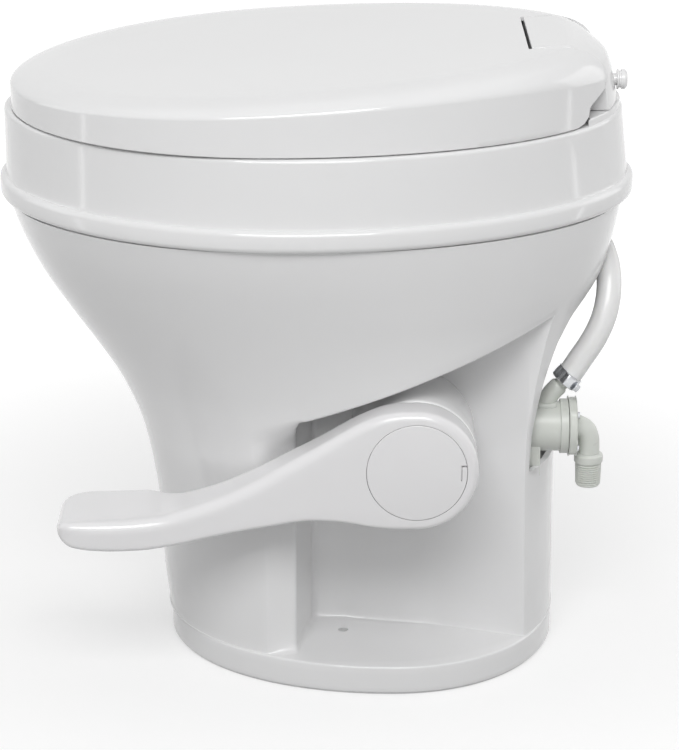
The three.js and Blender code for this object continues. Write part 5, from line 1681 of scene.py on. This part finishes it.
@dataclass
class Pedal:
    """The foot pedal: a round head whose edge runs on into the arm and pad."""

    hub: Row = (54.75, 190.0)
    head: float = 46.3
    near: float = 168.0
    tip: float = -215.8
    upper: tuple[Row, ...] = (
        (-215.8, 141.6), (-214.9, 144.6), (-212, 147.2), (-206.6, 148.6), (-190, 149.4),
        (-171.9, 149.8), (-141.6, 152.4), (-114.3, 160.2), (-92.1, 168.2), (-70.7, 178.3),
        (-36.4, 198.2), (-16.5, 209.8), (0, 219.8), (14.7, 227.8), (31.6, 234.2), (44, 236.1),
        (54.75, 236.3),
    )
    lower: tuple[Row, ...] = (
        (-215.8, 141.6), (-215, 138.2), (-212, 134), (-203.4, 129.2), (-190, 126.9), (-175, 126.2),
        (-154, 127), (-133.7, 129.8), (-101.3, 137.2), (-69.8, 143.9), (-54.9, 146.3),
        (-39.1, 149.3), (-24.2, 150.9), (-8.8, 150.4), (6.4, 148.4), (21.4, 145.7), (42.3, 143.9),
        (54.75, 143.7),
    )
    far: tuple[Row, ...] = (
        (-215.8, 122), (-215, 115.7), (-212.5, 109.5), (-208.5, 104.3), (-203.3, 100.3),
        (-197, 97.8), (-190.8, 97), (-171.9, 97), (-152, 98.8),
        (-140, 106.5), (-128, 117.5), (-117, 123.5), (-92, 127), (-70.7, 129), (-36.4, 134),
        (-16.5, 137), (14.7, 138), (110, 138),
    )
    samples: int = 300
    bend_length: float = 14.0  # length that a radian of bend counts as
    tip_round: float = 13.0
    top_round: float = 8.6
    side_round: float = 3.4
    far_round: float = 3.2
    under_wall: float = 3.4
    pad: Row = (-210.0, -24.0)  # stations that the hollow lies between

    def outline(self) -> Array:
        """Side outline, counter-clockwise from the tip: the lower table and
        the head's circle out to the back, then the circle and the upper table
        home. Its points are even along the line plus a share of its bend, so
        the tip is finely cut.

        Returns:
            Points of Y and Z.
        """
        right = self.hub[0] + self.head
        s = (1 - np.cos(np.linspace(0, math.pi, 900))) / 2
        y = self.tip + (right - self.tip) * s
        drop = np.sqrt(np.clip(self.head**2 - (y - self.hub[0]) ** 2, 0, None))
        up, down = np.array(self.upper), np.array(self.lower)
        top = np.where(y > self.hub[0], self.hub[1] + drop, smooth_through(y, *up.T))
        low = np.where(y > self.hub[0], self.hub[1] - drop, smooth_through(y, *down.T))
        path = np.concatenate([np.stack([y, low], 1), np.stack([y, top], 1)[::-1][1:]])
        return even_along(path, path, self.samples, self.bend_length)

    def skin(self) -> list[Skin]:
        """The outside: the outline drawn in along its own normal by the rim's
        radius at the near face, full size between the faces, and drawn in
        again at the far face, which follows the pad's width. The near rim's
        radius is large along the top and small along the bottom, and the near
        face falls back round the tip by a quarter circle in plan.

        Returns:
            The rim, the far face and the near face.
        """
        path = self.outline()
        out = outwards(path)
        y = path[:, 0]
        far = smooth_through(y, *np.array(self.far).T)
        lean = np.clip(out[:, 1], -1, 1)
        blend = np.clip((y + 40.0) / 90.0, 0, 1)
        grown = (self.top_round - self.side_round) * np.clip(lean * 1.4, 0, 1)
        near_round = self.side_round + grown * (1 - 0.45 * blend)
        near_round = np.maximum(near_round, 4.4 * blend)
        near_round = np.minimum(near_round, 3.2 + 0.22 * np.clip(y - self.tip, 0, 40))
        far_round = np.full(len(path), self.far_round)
        a = np.linspace(0, QUARTER, 8)[:, None]
        start, end = far + far_round, self.near_at(y) - near_round
        inset = np.concatenate([
            far_round * (1 - np.sin(a)), np.zeros((7, len(path))),
            near_round * (1 - np.sin(a[::-1])),
        ])
        yz = path - inset[..., None] * out
        x = np.concatenate([
            far + far_round * (1 - np.cos(a)), start + (end - start) * shares(8)[:-1],
            self.near_at(yz[-8:, :, 0]) - near_round * (1 - np.cos(a[::-1])),
        ])
        rim = np.concatenate([x[..., None], yz], -1)
        return [Skin(rim), self.face(rim[0]), self.face(rim[-1])]

    def near_at(self, y: Array) -> Array:
        """The near face, which falls back round the tip by a quarter circle.

        Args:
            y: Stations along the pedal.

        Returns:
            X of the face at each of them.
        """
        back = np.clip(1 - (y - self.tip) / self.tip_round, 0, 1)
        return self.near - self.tip_round * (1 - np.sqrt(1 - back * back))

    @staticmethod
    def face(ring: Array) -> Skin:
        """A face across a ring: straight strips from each point of its lower
        half to the point as far along its upper half.

        Args:
            ring: The points round the face.

        Returns:
            The skin.
        """
        half = len(ring) // 2
        low, high = ring[: half + 1], np.roll(ring[::-1], 1, 0)[: half + 1]
        share = np.linspace(0, 1, 7)[:, None, None]
        return Skin(low + (high - low) * share, close_cols=False)

    def hollow(self) -> bpy.types.Object:
        """Cutter for the space under the pad, open below: a wall inside the
        top, the far and the near face, drawn in at both ends by the root of
        the way from the end.

        Returns:
            The tool.
        """
        start, stop = self.pad
        y = np.linspace(start, stop, 40)
        ends = np.minimum(1, np.minimum((y - start) / 6, (stop - y) / 6)) ** 0.5
        top = smooth_through(y, *np.array(self.upper).T) - self.far_round
        far = smooth_through(y, *np.array(self.far).T) + self.under_wall + (1 - ends) * 6
        near = np.full_like(y, self.near - self.under_wall) - (1 - ends) * 6
        q, r = np.array([0.0, 0.5, 1.0]) * QUARTER, 5.0
        near, far, top = near[:, None], far[:, None], top[:, None]
        x = np.concatenate([near - r + r * np.cos(q), far + r - r * np.sin(q), far, near], 1)
        z = np.concatenate([
            top - r + r * np.sin(q), top - r + r * np.cos(q), np.full((len(y), 2), 90.0)
        ], 1)
        rings = np.stack([x, np.broadcast_to(y[:, None], x.shape), z], -1)
        return mesh_of("tool", [Skin(rings, caps=True)])

    def cap(self) -> bpy.types.Object:
        """The round cap over the screw, with a small latch notch at its rim.

        Returns:
            The piece.
        """
        x = self.near
        disc = lathe_skin(
            [(0, x - 6), (32.4, x - 6), (32.4, x - 2.6), (37.5, x - 2.6), (37.5, x + 0.5),
             (0, x + 1.2)],
            [0, 0.3, 0.3, 0.2, 0.7, 0], Axis.X, self.hub, 200,
        )
        made = mesh_of("hub_cap_moulding", [disc])
        y, z = self.hub
        tools = [
            box_tool((x - 2.4, y + 32.9, z + 4.9), (x + 6, y + 37.2, z + 6.3)),
            box_tool((x - 2.4, y + 32.9, z - 6.2), (x + 6, y + 33.6, z + 5.2)),
        ]
        return carve(made, tools)

    def build(self) -> None:
        """Makes the pedal and its cap."""
        body = mesh_of("foot_pedal_moulding", self.skin())
        pocket = lathe_skin(
            [(0, 154), (33, 154), (33, 165.1), (37.85, 165.1), (37.85, 175), (0, 175)],
            [0, 1, 0.2, 0.2, 0, 0], Axis.X, self.hub, 200,
        )
        bore = rod_tool(8.3, 130, 149.3, Axis.X, self.hub)
        screw = rod_tool(2.8, 149, 156, Axis.X, self.hub)
        carve(body, [self.hollow(), mesh_of("tool", [pocket]), bore, screw])
        dress(body, PEDAL_WHITE, Body.PEDAL, ("foot_pedal",))
        dress(self.cap(), PEDAL_WHITE, Body.PEDAL, ("hub_cap",))


# Water valve


@dataclass
class WaterValve:
    """Valve body, end cap, inlet elbow, hose and clamps behind the column."""

    x: float = 53.0
    z: float = 186.0
    radius: float = 19.5
    drop: float = 192.0
    port: float = 5.5
    hose_radius: float = 9.7
    hose_bore: float = 6.4
    route: tuple[Row, ...] = (
        (53, 170.2, 222.2), (52.5, 176, 229), (51.5, 183, 239.6), (49, 193.8, 256), (45, 201, 271),
        (39, 204.8, 285), (31, 206, 298), (22, 205, 309), (14, 201.8, 318.5), (8, 196.6, 327.5),
        (5, 189, 335.4), (4, 180.5, 339.8), (4, 173, 340.7), (4, 166.4, 340.7),
    )

    def body(self) -> list[Skin]:
        """Turned body with its nose and flange, and the neck that carries the
        hose: a tube that steps down behind a small groove.

        Returns:
            The three skins.
        """
        wide, bore, centre = self.radius, self.radius - 4.0, (self.x, self.z)
        barrel = lathe_skin(
            [(bore, 124), (bore, 175), (wide, 175), (wide, 118.3), (9, 118.3), (9, 106), (3.9, 106),
             (3.9, 124)],
            [1, 0.4, 0.8, 1.2, 0.6, 0.8, 0.3, 0.3], Axis.Y, centre, 96,
        )
        rise = [(self.x, 158, 194), (self.x, 158, 204.8), (self.x, 161, 212)]
        path = spline(np.array([*rise, *self.route[:3]], float), 60)
        s, step = np.linspace(0, 1, 60), 0.55
        r = np.where(s < step, 7.2, 6.1) - 0.6 * np.exp(-(((s - step) / 0.02) ** 2))
        flange = lathe_skin(
            [(wide, 168.6), (21.4, 168.6), (21.4, 175), (wide, 175)], [0.1, 0.8, 0.3, 0.1], Axis.Y,
            centre, 96,
        )
        return [barrel, flange, piped(path, r, 4.4, 40)]

    def lug(self) -> bpy.types.Object:
        """The small flat lug at the neck's foot, a plate with round corners.

        Returns:
            The piece.
        """
        left, right = self.x - 9, self.x + 9
        corners = np.array([(left, 150), (right, 150), (right, 166), (left, 166)], float)
        outline = rounded_path(corners, np.array([4.0] * 4))
        return mesh_of("valve_neck_lug", [plate(outline, Axis.Z, 203.4, 206.8, 0.8, 3)])

    def apron(self) -> bpy.types.Object:
        """The upright flange that holds the valve to the inside of the wall.

        Returns:
            The piece.
        """
        corners = np.array([(137, 150), (153.2, 150), (153.2, 177), (137, 177)], float)
        outline = rounded_path(corners, np.array([1.0, 1.0, 3.0, 1.0]), 4)
        return mesh_of("valve_apron", [plate(outline, Axis.X, 66.0, 68.4, 0.5, 2)])

    def end_cap(self) -> bpy.types.Object:
        """Round end cap whose radius swells to four lobes, for its screws, by
        the cube of a cosine.

        Returns:
            The piece.
        """
        a = np.arange(192) * TAU / 192
        lobes = 22.7 + 1.1 * np.clip(np.cos(4 * (a - math.pi / 4)), 0, 1) ** 3
        outline = np.stack([self.x + lobes * np.cos(a), self.z + lobes * np.sin(a)], 1)
        disc = plate(outline[::-1], Axis.Y, 175.3, 181.3, 1.0, 4)
        made = mesh_of("valve_end_cap_moulding", [disc])
        return carve(made, [rod_tool(self.port, 170, 190, Axis.Y, (self.x, self.z))])

    def elbow(self) -> list[Skin]:
        """Elbow from the cap, round a tight bend to the collar: a tube whose
        radius swells a little at both ends.

        Returns:
            The tube and the collar.
        """
        start = 181.6
        reach = self.drop - start
        straight = np.array([
            (self.x, start, self.z), (self.x, start + reach * 0.25, self.z - reach * 0.03),
            (self.x, start + reach * 0.72, self.z - reach * 0.35),
            (self.x, self.drop - reach * 0.04, self.z - reach * 0.95),
            (self.x, self.drop, self.z - reach * 1.5), (self.x, self.drop, 158.0),
        ], float)
        path = spline(straight, 48)
        s = np.linspace(0, 1, 48)
        r = 8.4 + 1.0 * np.exp(-(s / 0.06) ** 2) + 0.8 * np.exp(-(((1 - s) / 0.1) ** 2))
        collar = lathe_skin(
            [(6, 156.7), (11.3, 156.7), (11.3, 162.7), (9.0, 164.2), (6, 164.2)],
            [0.2, 0.9, 0.9, 0.6, 0.2], Axis.Z, (self.x, self.drop), 80,
        )
        return [piped(path, r, self.port, 56), collar]

    def thread(self) -> Skin:
        """Threaded spigot: its radius rises and falls along a helix, by the
        share of a turn that the angle and the height add up to, and fades out
        at both ends.

        Returns:
            The skin.
        """
        pitch, low, high = 1.814, 137.3, 157.0
        z = np.linspace(low, high, 120)[:, None]
        a = (np.arange(72) * TAU / 72)[None]
        phase = ((z - low) / pitch - a / TAU) % 1.0
        ridge = 1 - np.abs(2 * phase - 1)
        ridge = np.clip(1.5 * ridge - 0.25, 0, 1)
        fade = np.clip((z - low) / 1.6, 0, 1) * np.clip((high - 1.2 - z) / 1.2, 0, 1)
        taper = 10.48 - (high - z) / 16.0 * 0.5
        r = taper - 1.1 * (1 - ridge * fade)
        outer = np.stack([
            self.x + r * np.cos(a), self.drop + r * np.sin(a), np.broadcast_to(z, r.shape)
        ], -1)
        bore = np.array([[self.port, high], [self.port, low + 0.6], [self.port + 0.6, low]])
        inner = turned(bore, Axis.Z, (self.x, self.drop), 72)
        return Skin(np.concatenate([outer, inner]), close_rows=True)

    def hose(self) -> Skin:
        """The flush hose: a tube with its bore along one smooth curve."""
        path = spline(np.array(self.route, float), 150)
        return piped(path, self.hose_radius, self.hose_bore, 56)

    def clamp(self, share: float, name: str) -> bpy.types.Object:
        """Worm-drive clamp: a band with rolled edges, its screw housing and the
        hexagonal head of the screw, turned onto the hose's own line.

        Args:
            share: Place along the hose.
            name: Name of the piece.

        Returns:
            The piece.
        """
        path = spline(np.array(self.route, float), 400)
        i = int(share * 399)
        way = path[min(i + 2, 399)] - path[max(i - 2, 0)]
        way /= np.linalg.norm(way)
        side = np.array([1.0, 0, 0]) - way * way[0]
        side /= np.linalg.norm(side)
        third = np.cross(way, side)
        place = np.stack([side, third, way])
        r = self.hose_radius + 0.25
        band = turned(
            np.array([[r, -4.5], [r + 0.9, -4.5], [r + 0.9, -4.1], [r + 0.6, -3.8], [r + 0.6, 3.8],
                      [r + 0.9, 4.1], [r + 0.9, 4.5], [r, 4.5]]),
            Axis.Z, (0, 0), 96,
        )
        saddle = rounded_path(
            np.array([(r, -5.6), (r + 2.6, -5.6), (r + 5.2, -3), (r + 5.2, 3), (r + 2.6, 5.6),
                      (r, 5.6)], float),
            np.array([0.2, 1, 2.4, 2.4, 1, 0.2]), 4,
        )
        housing = plate(saddle, Axis.Z, -4.3, 4.3, 0.5, 2)
        a = np.arange(6) * TAU / 6
        hexagon = np.stack([r + 2.9 + 3.4 * np.cos(a), 3.4 * np.sin(a)], 1)
        head = plate(hexagon, Axis.Y, 5.8, 9.6, 0.5, 2)
        washer = lathe_skin([(0, 5.4), (4.0, 5.4), (4.0, 6.2), (0, 6.2)], [0, 0.2, 0.2, 0], Axis.Y,
                            (r + 2.9, 0.0), 40)
        slots = []
        for k in range(26):
            turn = math.radians(32 + k * 11.4)
            if math.radians(-30) < turn < math.radians(30):
                continue
            c, s = math.cos(turn), math.sin(turn)
            bar = rounded_path(
                np.array([(-0.55, -2.6), (0.55, -2.6), (0.55, 2.6), (-0.55, 2.6)], float),
                np.array([0.3] * 4), 2,
            )
            flat = plate(bar, Axis.X, r + 0.55, r + 0.78, 0.05, 1).points
            xy = np.stack([flat[..., 0] * c - flat[..., 1] * s,
                           flat[..., 0] * s + flat[..., 1] * c], -1)
            slots.append(Skin(np.concatenate([xy, flat[..., 2:]], -1), caps=True))
        skins = [Skin(band, close_rows=True), housing, head, washer, *slots]
        for skin in skins:
            skin.points = skin.points @ place + path[i]
        return mesh_of(name, skins)

    def build(self) -> None:
        """Makes the valve, its elbow, the hose and both clamps."""
        dress(mesh_of("water_valve_moulding", self.body()), VALVE_MILKY, Body.BASE,
              ("water_valve_body",))
        dress(self.lug(), VALVE_MILKY, Body.BASE, ("water_valve_body",))
        dress(self.apron(), VALVE_MILKY, Body.BASE)
        dress(self.end_cap(), VALVE_MILKY, Body.BASE, ("valve_end_cap",))
        dress(mesh_of("inlet_elbow_moulding", self.elbow()), VALVE_MILKY, Body.BASE,
              ("inlet_elbow",))
        dress(mesh_of("inlet_thread", [self.thread()]), VALVE_MILKY, Body.BASE, ("inlet_elbow",))
        dress(mesh_of("flush_hose_vinyl", [self.hose()]), HOSE_MILKY, Body.BASE, ("flush_hose",))
        dress(self.clamp(0.035, "clamp_lower"), STEEL, Body.BASE, ("hose_clamp_lower",))
        dress(self.clamp(0.96, "clamp_upper"), STEEL, Body.BASE, ("hose_clamp_upper",))


# Carried over


@dataclass(frozen=True)
class CarriedOver:
    """CAD nodes that keep their shape and get a finish of their own."""

    finishes: tuple[tuple[Finish, tuple[str, ...]], ...] = (
        (BOWL_WHITE, ("flush_ball",)),
        (SEAL_RUBBER, ("ball_seal", "floor_seal")),
        (BUMPER_RUBBER, ("seat_bumper", "lid_bumper")),
        (STEEL, ("ball_drive_shaft", "ball_stub_shaft", "pedal_shaft", "return_spring",
                 "pedal_screw", "valve_cap_screw", "hinge_pin")),
        (INNER_NYLON, ("ball_housing", "outlet_tube", "pinion", "sector_gear", "valve_cam",
                       "outer_bush", "inner_bush", "bearing_plate", "valve_plunger",
                       "rim_nozzle", "vacuum_breaker_cap", "hinge_nut")),
    )
    rest: Finish = GLOSSY_WHITE

    def finish_of(self, node: str) -> Finish:
        """The finish of a node, by the start of its name.

        Args:
            node: Name of the CAD node.

        Returns:
            Its finish.
        """
        for finish, starts in self.finishes:
            if node.startswith(starts):
                return finish
        return self.rest

    def build(self, nodes: dict[str, bpy.types.Object]) -> None:
        """Dresses every CAD node that is still shown.

        Args:
            nodes: The frame's nodes by name.
        """
        for name, node in sorted(nodes.items()):
            finish = self.finish_of(name)
            node.data.materials.clear()
            node.data.materials.append(finish.material())
            if not node.hide_render:
                log.info("%s: carried over in %s", name, finish.name)


# Studio


@dataclass
class Studio:
    """Floor, soft lamps, world and the camera at the photograph's place."""

    camera_at: Row = (2203.2, -2.9, 964.7)
    look_down: float = 18.917
    lens: float = 140.64
    floor_colour: Row = (0.45, 0.45, 0.45)
    floor_half: float = 9000.0
    floor_level: float = -0.4
    floor_lift: Row = (0.15, 1.1, 0.54, 0.84)  # from and to, in metres and in strength
    around: float = 0.38  # strength of the surroundings as a light
    shown: float = 1.0  # and where they are seen
    lamps: tuple[tuple[str, Row, Row, Row, float], ...] = (
        ("key", (2.3, 0.0, 2.4), (0, 0, 0.2), (2.0, 1.2), 54.0),
        ("low_fill", (2.9, 0.0, 1.2), (0, 0, 0.2), (2.0, 0.8), 4.0),
        ("overhead", (-0.4, 0.0, 3.0), (0, 0, 0.2), (3.0, 3.0), 6.0),
        ("front_panel", (-0.3, -2.6, 1.0), (0, 0, 0.3), (1.6, 1.8), 7.0),
        ("rear_panel", (-0.9, 2.5, 1.0), (0, 0, 0.3), (1.6, 1.8), 11.0),
        ("front_strip", (0.234, -0.914, 0.15), (0.13, -0.17, 0.4), (0.035, 0.28), 0.07),
        ("rear_strip", (0.03, 0.94, 0.15), (0.1, 0.195, 0.4), (0.035, 0.28), 0.07),
    )

    def camera(self) -> None:
        """Sets the camera on the +X side, looking along -X and down."""
        data = bpy.data.cameras.new("photo_camera")
        data.lens, data.sensor_width = self.lens, 36.0
        data.clip_start, data.clip_end = 0.05, 60.0
        made = bpy.data.objects.new("photo_camera", data)
        place = to_row(np.array(self.camera_at))
        turn = Matrix.Rotation(math.radians(90), 4, "Z") @ Matrix.Rotation(
            math.radians(90 - self.look_down), 4, "X"
        )
        made.matrix_world = Matrix.Translation(Vector(place)) @ turn
        bpy.context.scene.collection.objects.link(made)
        bpy.context.scene.camera = made

    def floor(self) -> None:
        """A wide pale floor that keeps the shadow."""
        s = np.linspace(-self.floor_half, self.floor_half, 3)
        x, y = np.meshgrid(s, s, indexing="ij")
        sheet = np.stack([x, y, np.full_like(x, self.floor_level)], -1)
        made = mesh_of("floor", [Skin(sheet, close_cols=False)])
        if made.data.polygons[0].normal.z < 0:
            made.data.flip_normals()
        material = bpy.data.materials.new("pale_floor")
        material.use_nodes = True
        tree = material.node_tree
        shader = put(tree.nodes["Principled BSDF"], {
            "Base Color": (*self.floor_colour, 1.0), "Roughness": 0.9, "Specular IOR Level": 0.1
        })
        where = tree.nodes.new("ShaderNodeTexCoord")
        away = tree.nodes.new("ShaderNodeVectorMath")
        away.operation = "LENGTH"
        tree.links.new(where.outputs["Object"], away.inputs[0])
        far = tree.nodes.new("ShaderNodeMapRange")
        far.interpolation_type = "SMOOTHSTEP"
        put(far, dict(zip(("From Min", "From Max", "To Min", "To Max"), self.floor_lift)))
        tree.links.new(away.outputs["Value"], far.inputs["Value"])
        seen = self.seen(tree, 0.0, far.outputs["Result"])
        glow = tree.nodes.new("ShaderNodeEmission")
        both = tree.nodes.new("ShaderNodeAddShader")
        tree.links.new(seen, glow.inputs["Strength"])
        tree.links.new(shader.outputs["BSDF"], both.inputs[0])
        tree.links.new(glow.outputs["Emission"], both.inputs[1])
        tree.links.new(both.outputs["Shader"], tree.nodes["Material Output"].inputs["Surface"])
        made.data.materials.append(material)

    def seen(
        self, tree: bpy.types.NodeTree, lit: float, shown: float | bpy.types.NodeSocket
    ) -> bpy.types.NodeSocket:
        """A strength that is one number for light and another for the camera,
        for glossy rays and for rays through clear plastic.

        Args:
            tree: Node tree that it is made in.
            lit: Strength as a source of light.
            shown: Strength as a background, a number or a socket.

        Returns:
            The socket with the strength.
        """
        path = tree.nodes.new("ShaderNodeLightPath")
        total = path.outputs["Is Camera Ray"]
        for kind in ("Is Glossy Ray", "Is Transmission Ray"):
            either = tree.nodes.new("ShaderNodeMath")
            either.operation = "MAXIMUM"
            tree.links.new(total, either.inputs[0])
            tree.links.new(path.outputs[kind], either.inputs[1])
            total = either.outputs[0]
        spread = tree.nodes.new("ShaderNodeMapRange")
        spread.inputs["To Min"].default_value = lit
        if isinstance(shown, float):
            spread.inputs["To Max"].default_value = shown
        else:
            tree.links.new(shown, spread.inputs["To Max"])
        tree.links.new(total, spread.inputs["Value"])
        return spread.outputs["Result"]

    def lamp(self, name: str, at: Row, to: Row, size: Row, power: float) -> None:
        """One soft lamp.

        Args:
            name: Its name.
            at: Where it stands, in metres.
            to: What it looks at, in metres.
            size: Width and height in metres.
            power: Power in watts.
        """
        data = bpy.data.lights.new(name, "AREA")
        data.shape, data.size, data.size_y, data.energy = "RECTANGLE", size[0], size[1], power
        made = bpy.data.objects.new(name, data)
        way = Vector(to) - Vector(at)
        made.matrix_world = Matrix.Translation(Vector(at)) @ way.to_track_quat(
            "-Z", "Y"
        ).to_matrix().to_4x4()
        bpy.context.scene.collection.objects.link(made)

    def world(self) -> None:
        """Even pale surroundings, white where they are seen."""
        world = bpy.data.worlds.new("surroundings")
        bpy.context.scene.world = world
        world.use_nodes = True
        tree = world.node_tree
        ground = put(tree.nodes["Background"], {"Color": (1.0, 1.0, 1.0, 1.0)})
        tree.links.new(self.seen(tree, self.around, self.shown), ground.inputs["Strength"])

    def build(self) -> None:
        """Sets up everything that isn't the object."""
        bpy.context.scene.view_settings.view_transform = "Standard"
        self.camera()
        self.floor()
        self.world()
        for lamp in self.lamps:
            self.lamp(*lamp)


def main() -> None:
    """Builds the pieces in order."""
    logging.basicConfig(level=logging.INFO, format="%(message)s")
    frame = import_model()
    Studio().build()
    hinge = Hinge()
    Pedestal().build()
    Rim().build()
    Bowl().build()
    hinge.build()
    Seat().build(hinge)
    Lid().build(hinge)
    Pedal().build()
    WaterValve().build()
    CarriedOver().build(frame["nodes"])


if __name__ == "__main__":
    main()
